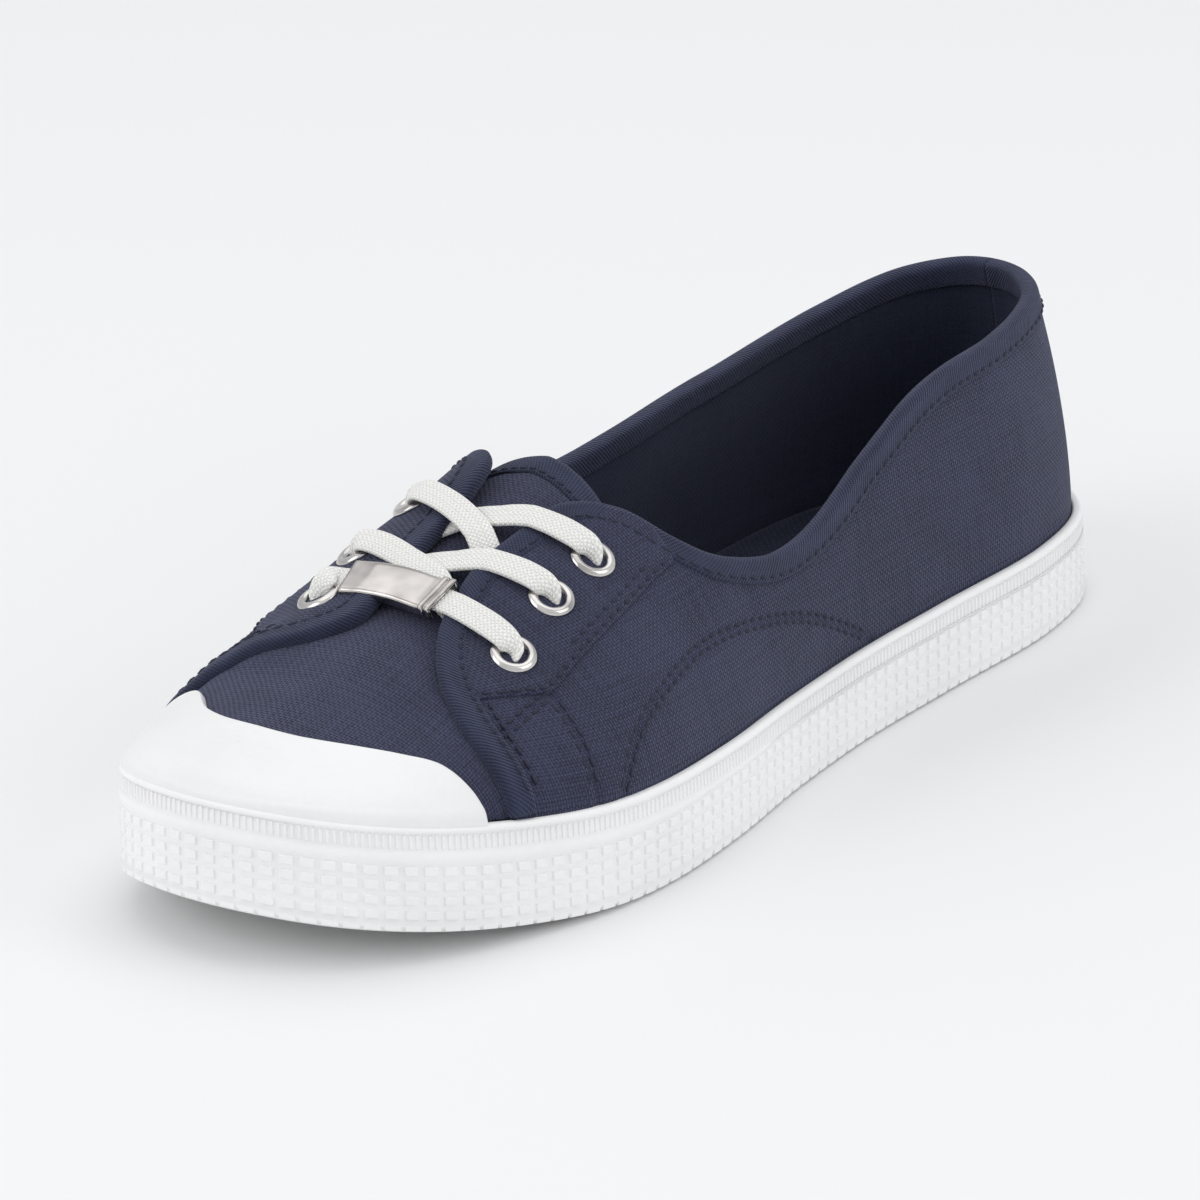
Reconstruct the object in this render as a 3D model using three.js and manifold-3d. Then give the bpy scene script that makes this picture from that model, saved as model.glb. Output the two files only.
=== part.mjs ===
// A left canvas sneaker, slip-on height, with a moulded rubber cupsole, a rubber toe cap, an open throat
// laced across six eyelets and a small metal plate on the front bar of the lace.
// Millimetres. +Z is up, the toe points to -Y and the lateral (outer) side of the foot is +X.
// A station u is a distance from the back of the heel, so y = LENGTH / 2 - u.

import * as THREE from "three";
import { mergeVertices } from "three/addons/utils/BufferGeometryUtils.js";
import Module from "manifold-3d";

// ---------------------------------------------------------------- driving dimensions

const LENGTH = 252; // the outsole, heel to toe
const TOE_SPRING = 10.7; // how far the toe tip of the sole is lifted off the floor
const SPRING_START = 180; // station where the sole leaves the floor
const CENTRE_SHIFT = -0.8; // from the outline's centre line to the middle of its width

const FLOOR_THICKNESS = 8; // of the cupsole, under the foot
const SIDEWALL_HEIGHT = { heel: 17.1, toe: 19.6, from: 110, to: 220 };
const RIM_INSET = 0.9; // the sidewall leans in by this much at its rim
const FEATHER_INSET = 2.8; // outer face of the upper, measured in from the sole's outline
const GAP = 0.3; // between pieces that touch

const WALL = 2; // canvas, lining and binding together
const INSOLE_THICKNESS = 3.5;
const TONGUE_DEPTH = 2.9; // top face of the tongue below the outer face of the upper
const TONGUE_THICKNESS = 1.6;
const CAP_LIFT = 0.4; // toe cap above the canvas
const CAP_THICKNESS = 1.5;

const EYELET = { outer: 4.3, bore: 2.3, barrel: 2.75, hole: 3.1, lift: 0.45, height: 1.1 };
const LACE = { width: 5.2, thickness: 1.3 };
const PLATE = { length: 22, width: 8.4, thickness: 0.8, flange: 1.3 };

// Half widths of the outsole, to the lateral and to the medial side of the centre line.
const OUTLINE = [
  { u: 0, lateral: 0, medial: 0 },
  { u: 5, lateral: 14.8, medial: 14.6 },
  { u: 16, lateral: 25.5, medial: 25 },
  { u: 38, lateral: 32, medial: 31.3 },
  { u: 75, lateral: 33.5, medial: 31 },
  { u: 105, lateral: 35, medial: 29 },
  { u: 130, lateral: 38.2, medial: 31 },
  { u: 155, lateral: 42.8, medial: 37 },
  { u: 178, lateral: 45.2, medial: 42.6 },
  { u: 195, lateral: 44.2, medial: 43.6 },
  { u: 212, lateral: 39.6, medial: 40.8 },
  { u: 230, lateral: 32, medial: 34 },
  { u: 244, lateral: 20.8, medial: 25 },
  { u: 252, lateral: -2.6, medial: 2.6 },
];

// One row for each section of the last. A section starts at the rim, at station u, climbs by the
// "upright" handle, and closes over the foot at the ridge with a level "crown" handle on each side.
const SECTIONS = [
  { u: 0, ridgeU: 26, ridgeX: 1, ridgeZ: 94, upright: 28, crownLateral: 8, crownMedial: 8 },
  { u: 16, ridgeU: 34, ridgeX: 2, ridgeZ: 94, upright: 27, crownLateral: 12, crownMedial: 12 },
  { u: 38, ridgeU: 50, ridgeX: 3, ridgeZ: 94, upright: 26, crownLateral: 14, crownMedial: 14 },
  { u: 75, ridgeU: 82, ridgeX: 2.5, ridgeZ: 92, upright: 25, crownLateral: 15, crownMedial: 14 },
  { u: 105, ridgeU: 106, ridgeX: 0.5, ridgeZ: 82, upright: 22, crownLateral: 17, crownMedial: 17 },
  { u: 130, ridgeU: 128, ridgeX: -2, ridgeZ: 70, upright: 18.5, crownLateral: 20, crownMedial: 21 },
  { u: 155, ridgeU: 152, ridgeX: -3.5, ridgeZ: 61.5, upright: 14.5, crownLateral: 21.5, crownMedial: 24 },
  { u: 178, ridgeU: 176, ridgeX: -3.5, ridgeZ: 54, upright: 12, crownLateral: 22.5, crownMedial: 24 },
  { u: 195, ridgeU: 193, ridgeX: -3.5, ridgeZ: 47.5, upright: 10.5, crownLateral: 22, crownMedial: 22.5 },
  { u: 212, ridgeU: 209, ridgeX: -3.2, ridgeZ: 41.5, upright: 8, crownLateral: 20, crownMedial: 19 },
  { u: 230, ridgeU: 224, ridgeX: -3, ridgeZ: 36.8, upright: 5.5, crownLateral: 15, crownMedial: 13.5 },
  { u: 244, ridgeU: 233, ridgeX: -2.8, ridgeZ: 34.8, upright: 3.5, crownLateral: 9, crownMedial: 8.5 },
  { u: 252, ridgeU: 238, ridgeX: -2.6, ridgeZ: 34, upright: 3, crownLateral: 5.5, crownMedial: 5.5 },
];

// Height of the collar edge above the floor along each side. Past the last row the throat takes over.
const TOPLINE = [
  { u: 0, lateral: 60.5, medial: 60.5 },
  { u: 16, lateral: 60, medial: 58 },
  { u: 38, lateral: 58.5, medial: 54.5 },
  { u: 68, lateral: 56, medial: 51.6 },
  { u: 90, lateral: 49, medial: 50.4 },
  { u: 106, lateral: 43, medial: 48.8 },
  { u: 121, lateral: 40.8, medial: 47.2 },
  { u: 134, lateral: 43.2, medial: 47.5 },
  { u: 144, lateral: 47.4, medial: 50.5 },
  { u: 154, lateral: 56, medial: 57.5 },
  { u: 160, lateral: 70, medial: 70 },
  { u: 252, lateral: 70, medial: 70 },
];

// The throat: its width from the ridge to the lateral facing at the collar and at the front, and where
// it ends. The medial facing comes closer to the ridge, by the medial share.
const THROAT = { back: 153, end: 203, halfBack: 8.5, halfFront: 12.5, corner: 7, medialShare: 0.5 };

// The toe cap's back edge: it turns from the sides onto the foot at a soft corner.
const CAP_EDGE = [
  { x: -40, u: 217.5 },
  { x: -30, u: 218 },
  { x: -24, u: 221.5 },
  { x: -18, u: 227 },
  { x: -11, u: 230.4 },
  { x: -3, u: 231.4 },
  { x: 5, u: 230.8 },
  { x: 14, u: 227.2 },
  { x: 23, u: 221.8 },
  { x: 28, u: 219 },
  { x: 38, u: 218 },
];

// The tongue under the throat: stations at the ridge, and its half width.
const TONGUE = { top: 150, front: 207, halfWidth: 18 };

// Eyelet pairs from the front one back: rim station, and share of the way up the section.
const EYELETS = [
  { name: "front", uLateral: 193.6, vLateral: 0.608, uMedial: 196.5, vMedial: 0.77 },
  { name: "middle", uLateral: 178.9, vLateral: 0.657, uMedial: 182.5, vMedial: 0.745 },
  { name: "back", uLateral: 165.9, vLateral: 0.659, uMedial: 168, vMedial: 0.77 },
];

const LATERAL = 1;
const MEDIAL = -1;
const SIDES = [LATERAL, MEDIAL];

// ---------------------------------------------------------------- curves through the tables

const clamp = THREE.MathUtils.clamp;
const angleOf = (u) => Math.acos(clamp(1 - (2 * u) / LENGTH, -1, 1));
const stationOf = (y) => LENGTH / 2 - y;

// A smooth curve through one column of a table, over the angle that runs from 0 at the heel to PI at
// the toe. Past each end it carries on into the other side's column, so both sides meet smoothly.
function track(rows, column, otherColumn = column, sign = 1) {
  const before = rows.slice(1, 4).map((r) => [-angleOf(r.u), sign * r[otherColumn]]).reverse();
  const along = rows.map((r) => [angleOf(r.u), r[column]]);
  const after = rows.slice(-4, -1).map((r) => [2 * Math.PI - angleOf(r.u), sign * r[otherColumn]]).reverse();
  const knots = [...before, ...along, ...after];
  const rise = (i) => (knots[i + 1][1] - knots[i][1]) / (knots[i + 1][0] - knots[i][0]);
  const slope = knots.map((k, i) => {
    if (i === 0) return rise(0);
    if (i === knots.length - 1) return rise(i - 1);
    const left = k[0] - knots[i - 1][0];
    const right = knots[i + 1][0] - k[0];
    return (rise(i - 1) * right + rise(i) * left) / (left + right);
  });
  return (angle) => {
    let i = 0;
    while (i < knots.length - 2 && angle > knots[i + 1][0]) i += 1;
    const width = knots[i + 1][0] - knots[i][0];
    const s = (angle - knots[i][0]) / width;
    const start = (2 * s ** 3 - 3 * s * s + 1) * knots[i][1] + (s ** 3 - 2 * s * s + s) * width * slope[i];
    const end = (3 * s * s - 2 * s ** 3) * knots[i + 1][1] + (s ** 3 - s * s) * width * slope[i + 1];
    return start + end;
  };
}

const halfWidth = {
  [LATERAL]: track(OUTLINE, "lateral", "medial", -1),
  [MEDIAL]: track(OUTLINE, "medial", "lateral", -1),
};
const toplineHeight = { [LATERAL]: track(TOPLINE, "lateral"), [MEDIAL]: track(TOPLINE, "medial") };
const ridgeU = track(SECTIONS, "ridgeU");
const ridgeX = track(SECTIONS, "ridgeX");
const ridgeZ = track(SECTIONS, "ridgeZ");
const upright = track(SECTIONS, "upright");
const crown = { [LATERAL]: track(SECTIONS, "crownLateral"), [MEDIAL]: track(SECTIONS, "crownMedial") };

// ---------------------------------------------------------------- sole and last

const SMALL = 1e-3;

// A point of the sole's outline, moved in by inset.
function outline(angle, side, inset = 0) {
  const at = (a) => new THREE.Vector2(side * halfWidth[side](a), (LENGTH / 2) * Math.cos(a));
  const along = at(angle + SMALL).sub(at(angle - SMALL)).normalize();
  return at(angle).add(new THREE.Vector2(along.y, -along.x).multiplyScalar(side * inset));
}

const spring = (u) => TOE_SPRING * Math.max(0, (u - SPRING_START) / (LENGTH - SPRING_START)) ** 2;

function rimHeight(u) {
  const { heel, toe, from, to } = SIDEWALL_HEIGHT;
  return spring(u) + heel + (toe - heel) * THREE.MathUtils.smoothstep(u, from, to);
}

function ridgePoint(angle) {
  return new THREE.Vector3(ridgeX(angle), LENGTH / 2 - ridgeU(angle), ridgeZ(angle));
}

function ridgeSlope(angle) {
  const inside = clamp(angle, 2 * SMALL, Math.PI - 2 * SMALL);
  const step = ridgePoint(inside + SMALL).sub(ridgePoint(inside - SMALL));
  return step.z / step.y;
}

// The last's surface: v is 0 at the rim and 1 at the ridge over the foot.
function last(angle, side, v) {
  const foot = outline(angle, side, FEATHER_INSET);
  const rim = new THREE.Vector3(foot.x, foot.y, rimHeight(stationOf(foot.y)));
  const ridge = ridgePoint(angle);
  const out = foot.clone().sub(new THREE.Vector2(ridge.x, ridge.y)).normalize();
  const level = new THREE.Vector3(out.x, out.y, ridgeSlope(angle) * out.y);
  const climb = rim.clone().setZ(rim.z + upright(angle));
  const shoulder = ridge.clone().addScaledVector(level, crown[side](angle));
  return new THREE.CubicBezierCurve3(rim, climb, shoulder, ridge).getPoint(v);
}

function lastNormal(angle, side, v) {
  if (v > 1 - SMALL) return new THREE.Vector3(0, -ridgeSlope(angle), 1).normalize();
  const low = Math.max(0, v - SMALL);
  const up = last(angle, side, v + SMALL).sub(last(angle, side, low));
  const along = last(angle + SMALL, side, v).sub(last(angle - SMALL, side, v));
  return up.cross(along).multiplyScalar(side).normalize();
}

// A point off the last's surface: depth is positive towards the foot.
function offLast(angle, side, v, depth) {
  return last(angle, side, v).addScaledVector(lastNormal(angle, side, v), -depth);
}

function bisect(low, high, isBelow) {
  for (let i = 0; i < 40; i += 1) {
    const middle = (low + high) / 2;
    if (isBelow(middle)) low = middle;
    else high = middle;
  }
  return (low + high) / 2;
}

// How far up the section, at most, the point stays this far from the ridge line across the foot.
function shareAtHalfWidth(angle, side, half) {
  return bisect(0, 1, (v) => Math.abs(last(angle, side, v).x - ridgeX(angle)) > half);
}

function throatWidth(u, side) {
  const { back, end, halfBack, halfFront, corner, medialShare } = THROAT;
  const half = THREE.MathUtils.mapLinear(u, back, end, halfBack, halfFront);
  const intoCorner = clamp((u - (end - corner)) / corner, 0, 1);
  const reach = half * Math.sqrt(1 - intoCorner ** 2);
  return side === MEDIAL ? reach * medialShare : reach;
}

// The share of the section where the upper's edge lies: the collar behind, the throat in front.
function edgeShare(angle, side) {
  const u = (LENGTH * (1 - Math.cos(angle))) / 2;
  const collar = bisect(0, 1, (v) => last(angle, side, v).z < toplineHeight[side](angle));
  if (u >= THROAT.end - SMALL) return 1;
  if (u < THROAT.back - 6) return collar;
  return Math.min(collar, shareAtHalfWidth(angle, side, throatWidth(u, side)));
}

// ---------------------------------------------------------------- mesh helpers

// Collects faces point by point and welds them into one closed body.
class Surface {
  corners = [];

  triangle(a, b, c) {
    this.corners.push(a, b, c);
  }

  quad(a, b, c, d) {
    this.triangle(a, b, c);
    this.triangle(a, c, d);
  }

  // A grid of points, row by row; flip turns its faces over.
  grid(rows, flip = false) {
    for (let r = 0; r + 1 < rows.length; r += 1) {
      for (let c = 0; c + 1 < rows[r].length; c += 1) {
        const ring = [rows[r][c], rows[r][c + 1], rows[r + 1][c + 1], rows[r + 1][c]];
        this.quad(...(flip ? ring.reverse() : ring));
      }
    }
  }

  geometry() {
    const positions = this.corners.flatMap((p) => [p.x, p.y, p.z]);
    const raw = new THREE.BufferGeometry();
    raw.setAttribute("position", new THREE.Float32BufferAttribute(positions, 3));
    const welded = mergeVertices(raw, 2e-3);
    const index = [];
    const all = welded.index.array;
    for (let i = 0; i < all.length; i += 3) {
      const [a, b, c] = all.slice(i, i + 3);
      if (a !== b && b !== c && c !== a) index.push(a, b, c);
    }
    return welded.setIndex(index);
  }
}

// A shell between an outer and an inner grid of the same shape. Open sides are closed by walls along
// the grid's first and last row and column, where closed is not set for them.
function addShell(surface, outer, inner, flip, walls) {
  surface.grid(outer, flip);
  surface.grid(inner, !flip);
  const column = (rows, c) => rows.map((row) => row.at(c));
  if (walls.firstRow) surface.grid([inner[0], outer[0]], flip);
  if (walls.lastRow) surface.grid([outer.at(-1), inner.at(-1)], flip);
  if (walls.firstColumn) surface.grid([column(outer, 0), column(inner, 0)], flip);
  if (walls.lastColumn) surface.grid([column(inner, -1), column(outer, -1)], flip);
}

const wasm = await Module();
wasm.setup();

function solidOf(geometry) {
  const bare = new THREE.BufferGeometry();
  bare.setAttribute("position", geometry.getAttribute("position").clone());
  if (geometry.index) bare.setIndex(geometry.index);
  const welded = mergeVertices(bare, SMALL);
  const vertProperties = new Float32Array(welded.getAttribute("position").array);
  const triVerts = new Uint32Array(welded.index.array);
  return new wasm.Manifold(new wasm.Mesh({ numProp: 3, vertProperties, triVerts }));
}

function geometryOf(solid) {
  const mesh = solid.getMesh();
  const geometry = new THREE.BufferGeometry();
  geometry.setAttribute("position", new THREE.BufferAttribute(new Float32Array(mesh.vertProperties), 3));
  geometry.setIndex(new THREE.BufferAttribute(new Uint32Array(mesh.triVerts), 1));
  return geometry;
}

// Angles of the columns around the shoe, closer together at the rounded front end of the throat and
// where the collar climbs to the throat.
const COLUMN_COUNT = 38;
const CLIMB_STATIONS = [143, 147, 150.5, 153.5, 157, 161];
const CORNER_SHARES = [0, 0.35, 0.62, 0.82, 0.95, 1];
const cornerStations = CORNER_SHARES.map((s) => THROAT.end - THROAT.corner * (1 - s));
const closeColumns = [...CLIMB_STATIONS, ...cornerStations].map(angleOf);
const evenColumns = Array.from({ length: COLUMN_COUNT + 1 }, (_, i) => (Math.PI * i) / COLUMN_COUNT);
const farFromClose = (a) => closeColumns.every((t) => Math.abs(a - t) > 0.02);
const COLUMNS = [...evenColumns.filter(farFromClose), ...closeColumns].sort((a, b) => a - b);

// ---------------------------------------------------------------- cupsole

function makeCupsole() {
  // The wall's profile from the tread edge, up the outside, over the rim and down to the foot bed.
  const profile = [
    { inset: 2.2, height: (u) => spring(u) },
    { inset: 0.7, height: (u) => spring(u) + 0.5 },
    { inset: 0, height: (u) => spring(u) + 2.2 },
    { inset: 0.1, height: (u) => spring(u) + 10 },
    { inset: RIM_INSET - 0.4, height: (u) => rimHeight(u) - 1 },
    { inset: RIM_INSET, height: rimHeight },
    { inset: FEATHER_INSET - GAP, height: rimHeight },
    { inset: FEATHER_INSET - GAP, height: (u) => spring(u) + FLOOR_THICKNESS },
  ];
  const surface = new Surface();
  const pointAt = (angle, side, { inset, height }) => {
    const p = outline(angle, side, inset);
    return new THREE.Vector3(p.x, p.y, height(stationOf(p.y)));
  };
  const ring = (step, side) => COLUMNS.map((angle) => pointAt(angle, side, step));
  for (const side of SIDES) {
    surface.grid(profile.map((step) => ring(step, side)), side === LATERAL);
  }
  surface.grid([ring(profile[0], MEDIAL), ring(profile[0], LATERAL)], true);
  surface.grid([ring(profile.at(-1), MEDIAL), ring(profile.at(-1), LATERAL)], false);
  return surface.geometry();
}

// ---------------------------------------------------------------- insole

function makeInsole() {
  const inset = FEATHER_INSET + WALL + GAP + 0.1;
  const bottom = FLOOR_THICKNESS + GAP;
  const surface = new Surface();
  const ring = (height, side) => COLUMNS.map((angle) => {
    const p = outline(angle, side, inset);
    return new THREE.Vector3(p.x, p.y, spring(stationOf(p.y)) + height);
  });
  const top = bottom + INSOLE_THICKNESS;
  for (const side of SIDES) {
    surface.grid([ring(bottom, side), ring(top, side)], side === LATERAL);
  }
  surface.grid([ring(bottom, MEDIAL), ring(bottom, LATERAL)], true);
  surface.grid([ring(top, MEDIAL), ring(top, LATERAL)], false);
  return surface.geometry();
}

// ---------------------------------------------------------------- upper

function makeUpperShell() {
  const SKIRT_ROWS = 2; // from the foot bed up to the rim, inside the cupsole
  const WALL_ROWS = 9; // from the rim to the edge
  const surface = new Surface();
  for (const side of SIDES) {
    const face = (depth) => {
      const skirt = Array.from({ length: SKIRT_ROWS }, (_, r) => COLUMNS.map((angle) => {
        const p = outline(angle, side, FEATHER_INSET + depth);
        const u = stationOf(p.y);
        const low = spring(u) + FLOOR_THICKNESS + GAP;
        return new THREE.Vector3(p.x, p.y, THREE.MathUtils.lerp(low, rimHeight(u), r / SKIRT_ROWS));
      }));
      const wall = Array.from({ length: WALL_ROWS + 1 }, (_, r) => COLUMNS.map((angle) => {
        const share = r / WALL_ROWS;
        return offLast(angle, side, edgeShare(angle, side) * share, depth);
      }));
      return [...skirt, ...wall];
    };
    const outer = face(0);
    const inner = face(WALL);
    const flip = side === LATERAL;
    addShell(surface, outer, inner, flip, { firstRow: true });
    // The edge of the collar and throat; in front of the throat both sides join at the ridge instead.
    const open = COLUMNS.filter((angle) => angle <= angleOf(THROAT.end) + SMALL).length;
    surface.grid([outer.at(-1).slice(0, open), inner.at(-1).slice(0, open)], flip);
  }
  return surface.geometry();
}

function eyeletPlaces() {
  return EYELETS.flatMap((row) => SIDES.map((side) => {
    const lateral = side === LATERAL;
    const angle = angleOf(lateral ? row.uLateral : row.uMedial);
    const v = lateral ? row.vLateral : row.vMedial;
    return {
      name: `eyelet_${row.name}_${lateral ? "lateral" : "medial"}`,
      centre: last(angle, side, v),
      normal: lastNormal(angle, side, v),
    };
  }));
}

// Turns a piece made around +Y so that +Y follows the place's normal, and moves it there.
function placed(geometry, { centre, normal }) {
  const turn = new THREE.Quaternion().setFromUnitVectors(new THREE.Vector3(0, 1, 0), normal);
  return geometry.applyQuaternion(turn).translate(centre.x, centre.y, centre.z);
}

function makeUpper() {
  const HOLE_SIDES = 14;
  const DRILL_DEPTH = 8;
  let upper = solidOf(makeUpperShell());
  for (const place of eyeletPlaces()) {
    const drill = new THREE.CylinderGeometry(EYELET.hole, EYELET.hole, DRILL_DEPTH, HOLE_SIDES);
    upper = upper.subtract(solidOf(placed(drill, place)));
  }
  return geometryOf(upper);
}

// ---------------------------------------------------------------- eyelets

function makeEyelet(place) {
  const { outer, bore, barrel, lift, height } = EYELET;
  const top = lift + height;
  const profile = [
    [bore, -WALL + 0.1],
    [barrel, -WALL + 0.1],
    [barrel, lift],
    [outer, lift],
    [outer, lift + 0.35],
    [outer - 0.6, top - 0.15],
    [outer - 1.2, top],
    [bore + 0.3, top - 0.25],
    [bore, lift],
    [bore, -WALL + 0.1],
  ].map(([radius, y]) => new THREE.Vector2(radius, y));
  const ring = new THREE.LatheGeometry(profile, 14);
  return placed(ring, place);
}

// ---------------------------------------------------------------- tongue

function makeTongue() {
  const COLUMNS_ALONG = 14;
  const ROWS_UP = 5;
  const surface = new Surface();
  const front = angleOf(TONGUE.front);
  for (const side of SIDES) {
    const face = (depth) => Array.from({ length: ROWS_UP + 1 }, (_, r) => {
      const across = r / ROWS_UP; // 0 at the side edge, 1 at the ridge
      const top = angleOf(TONGUE.top + 5 * (1 - across) ** 2);
      return Array.from({ length: COLUMNS_ALONG + 1 }, (_, c) => {
        const angle = THREE.MathUtils.lerp(top, front, c / COLUMNS_ALONG);
        const low = shareAtHalfWidth(angle, side, TONGUE.halfWidth);
        return offLast(angle, side, THREE.MathUtils.lerp(low, 1, across), depth);
      });
    });
    const walls = { firstRow: true, firstColumn: true, lastColumn: true };
    addShell(surface, face(TONGUE_DEPTH), face(TONGUE_DEPTH + TONGUE_THICKNESS), side === LATERAL, walls);
  }
  return surface.geometry();
}

// ---------------------------------------------------------------- toe cap

function makeToeCap() {
  const COLUMNS_ALONG = 9;
  const ROWS_UP = 6;
  const surface = new Surface();
  const capStation = (x) => {
    const past = CAP_EDGE.findIndex((row) => row.x > x);
    if (past === -1) return CAP_EDGE.at(-1).u;
    if (past === 0) return CAP_EDGE[0].u;
    const [from, to] = CAP_EDGE.slice(past - 1, past + 1);
    return THREE.MathUtils.mapLinear(x, from.x, to.x, from.u, to.u);
  };
  for (const side of SIDES) {
    const clearOfRim = (angle) => bisect(0, 0.5, (v) => {
      const p = last(angle, side, v);
      return p.z < rimHeight(stationOf(p.y)) + GAP + 0.1;
    });
    const pointAt = (angle, share, depth) => {
      const v = THREE.MathUtils.lerp(clearOfRim(angle), 1, share);
      return offLast(angle, side, v, depth);
    };
    const face = (depth) => Array.from({ length: ROWS_UP + 1 }, (_, r) => {
      const share = r / ROWS_UP;
      const back = bisect(angleOf(200), Math.PI, (angle) => {
        const p = pointAt(angle, share, 0);
        return stationOf(p.y) < capStation(p.x);
      });
      return Array.from({ length: COLUMNS_ALONG + 1 }, (_, c) => {
        const angle = THREE.MathUtils.lerp(back, Math.PI, c / COLUMNS_ALONG);
        return pointAt(angle, share, depth);
      });
    });
    const walls = { firstRow: true, firstColumn: true };
    addShell(surface, face(-CAP_LIFT - CAP_THICKNESS), face(-CAP_LIFT), side === LATERAL, walls);
  }
  return surface.geometry();
}

// ---------------------------------------------------------------- lacing

// A solid of one section swept along a path; each section is given as [across, up] pairs.
function sweep(section, path, ups, steps) {
  const curve = new THREE.CatmullRomCurve3(path, false, "centripetal");
  const surface = new Surface();
  const rings = Array.from({ length: steps + 1 }, (_, i) => {
    const t = i / steps;
    const along = curve.getTangentAt(t);
    const up = ups[0].clone().lerp(ups[1], t);
    up.addScaledVector(along, -up.dot(along)).normalize();
    const across = along.clone().cross(up);
    const centre = curve.getPointAt(t);
    const ring = section.map(([a, b]) => centre.clone().addScaledVector(across, a).addScaledVector(up, b));
    return [...ring, ring[0]];
  });
  surface.grid(rings, true);
  const faces = THREE.ShapeUtils.triangulateShape(section.map(([a, b]) => new THREE.Vector2(a, b)), []);
  for (const [a, b, c] of faces) {
    surface.triangle(rings[0][a], rings[0][b], rings[0][c]);
    surface.triangle(rings.at(-1)[c], rings.at(-1)[b], rings.at(-1)[a]);
  }
  return surface.geometry();
}

const LACE_SECTION = [
  [-LACE.width / 2, -LACE.thickness / 2],
  [LACE.width / 2, -LACE.thickness / 2],
  [LACE.width / 2, LACE.thickness / 2],
  [-LACE.width / 2, LACE.thickness / 2],
];
const LACE_LIFT = EYELET.lift + EYELET.height + GAP + LACE.thickness / 2; // over an eyelet
const LACE_ARCH = 2; // how much higher the bar of lace runs between the facings

const placeOf = Object.fromEntries(eyeletPlaces().map((place) => [place.name, place]));
const overEyelet = ({ centre, normal }) => centre.clone().addScaledVector(normal, LACE_LIFT + 0.7);

// A point in the throat, this share of the way from the medial facing's edge to the lateral one's.
function inThroat(u, across, lift) {
  const side = across > 0 ? LATERAL : MEDIAL;
  const angle = angleOf(u);
  const v = shareAtHalfWidth(angle, side, Math.abs(across) * throatWidth(u, side));
  return offLast(angle, side, v, -lift);
}

// The bar of lace across the front eyelets.
const BAR_ENDS = [placeOf.eyelet_front_medial, placeOf.eyelet_front_lateral];
function barPath() {
  const [from, to] = BAR_ENDS.map(overEyelet);
  const shoulder = (share) => from.clone().lerp(to, share).setZ(THREE.MathUtils.lerp(from.z, to.z, share));
  const lifted = (share, lift) => shoulder(share).add(new THREE.Vector3(0, 0, lift));
  return [from, lifted(0.2, LACE_ARCH), lifted(0.5, LACE_ARCH + 0.8), lifted(0.8, LACE_ARCH), to];
}

// Where a strap starts, clear of the facing it comes from, as a share of the throat's width there.
const STRAP_START = { lateral: 0.62, medial: 0.3 };

// A strap from under one facing, at the throat's edge, over to the eyelet on the other side.
function strap(fromU, fromSide, eyelet) {
  const away = -fromSide;
  const start = fromSide === MEDIAL ? STRAP_START.medial : STRAP_START.lateral;
  const path = [
    inThroat(fromU, start * fromSide, -0.9),
    inThroat(fromU - 3.5, 0.2 * fromSide, 1.4),
    inThroat(fromU - 8, 0.5 * away, 2.9),
    overEyelet(eyelet).lerp(inThroat(fromU - 10, 0.8 * away, 3.6), 0.45),
    overEyelet(eyelet),
  ];
  return sweep(LACE_SECTION, path, [new THREE.Vector3(0, -0.25, 1), eyelet.normal], 12);
}

function makeLaceCross(frontU, eyeletName) {
  const toLateral = strap(frontU, MEDIAL, placeOf[`eyelet_${eyeletName}_lateral`]);
  const toMedial = strap(frontU, LATERAL, placeOf[`eyelet_${eyeletName}_medial`]);
  return geometryOf(solidOf(toLateral).add(solidOf(toMedial)));
}

function makeLaceBar() {
  return sweep(LACE_SECTION, barPath(), BAR_ENDS.map((place) => place.normal), 14);
}

// The plate is a shallow channel that rides over the middle of the bar.
function makeLacePlate() {
  const under = LACE.thickness / 2 + GAP + 0.2;
  const half = PLATE.width / 2;
  const inside = half - PLATE.thickness;
  const section = [
    [-half, under - PLATE.flange],
    [-inside, under - PLATE.flange],
    [-inside, under],
    [inside, under],
    [inside, under - PLATE.flange],
    [half, under - PLATE.flange],
    [half, under + PLATE.thickness],
    [-half, under + PLATE.thickness],
  ];
  const curve = new THREE.CatmullRomCurve3(barPath(), false, "centripetal");
  const share = PLATE.length / 2 / curve.getLength();
  const stops = [0.5 - share, 0.5 - share / 2, 0.5, 0.5 + share / 2, 0.5 + share];
  const path = stops.map((t) => curve.getPointAt(t));
  const ups = [0.5 - share, 0.5 + share].map((t) => BAR_ENDS[0].normal.clone().lerp(BAR_ENDS[1].normal, t));
  return sweep(section, path, ups, 8);
}

// ---------------------------------------------------------------- the shoe

const WHITE_RUBBER = { color: 0xf2f2ef, roughness: 0.55, metalness: 0 };
const NAVY_CANVAS = { color: 0x2f3a5c, roughness: 0.95, metalness: 0 };
const NAVY_LINING = { color: 0x252e4a, roughness: 1, metalness: 0 };
const POLISHED_STEEL = { color: 0xc9c5bf, roughness: 0.2, metalness: 1 };
const WHITE_ELASTIC = { color: 0xe9e7e0, roughness: 0.9, metalness: 0 };

const shoe = new THREE.Group();
shoe.position.x = CENTRE_SHIFT;

function addPiece(name, geometry, look) {
  const mesh = new THREE.Mesh(geometry, new THREE.MeshStandardMaterial(look));
  mesh.name = name;
  shoe.add(mesh);
}

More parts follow.
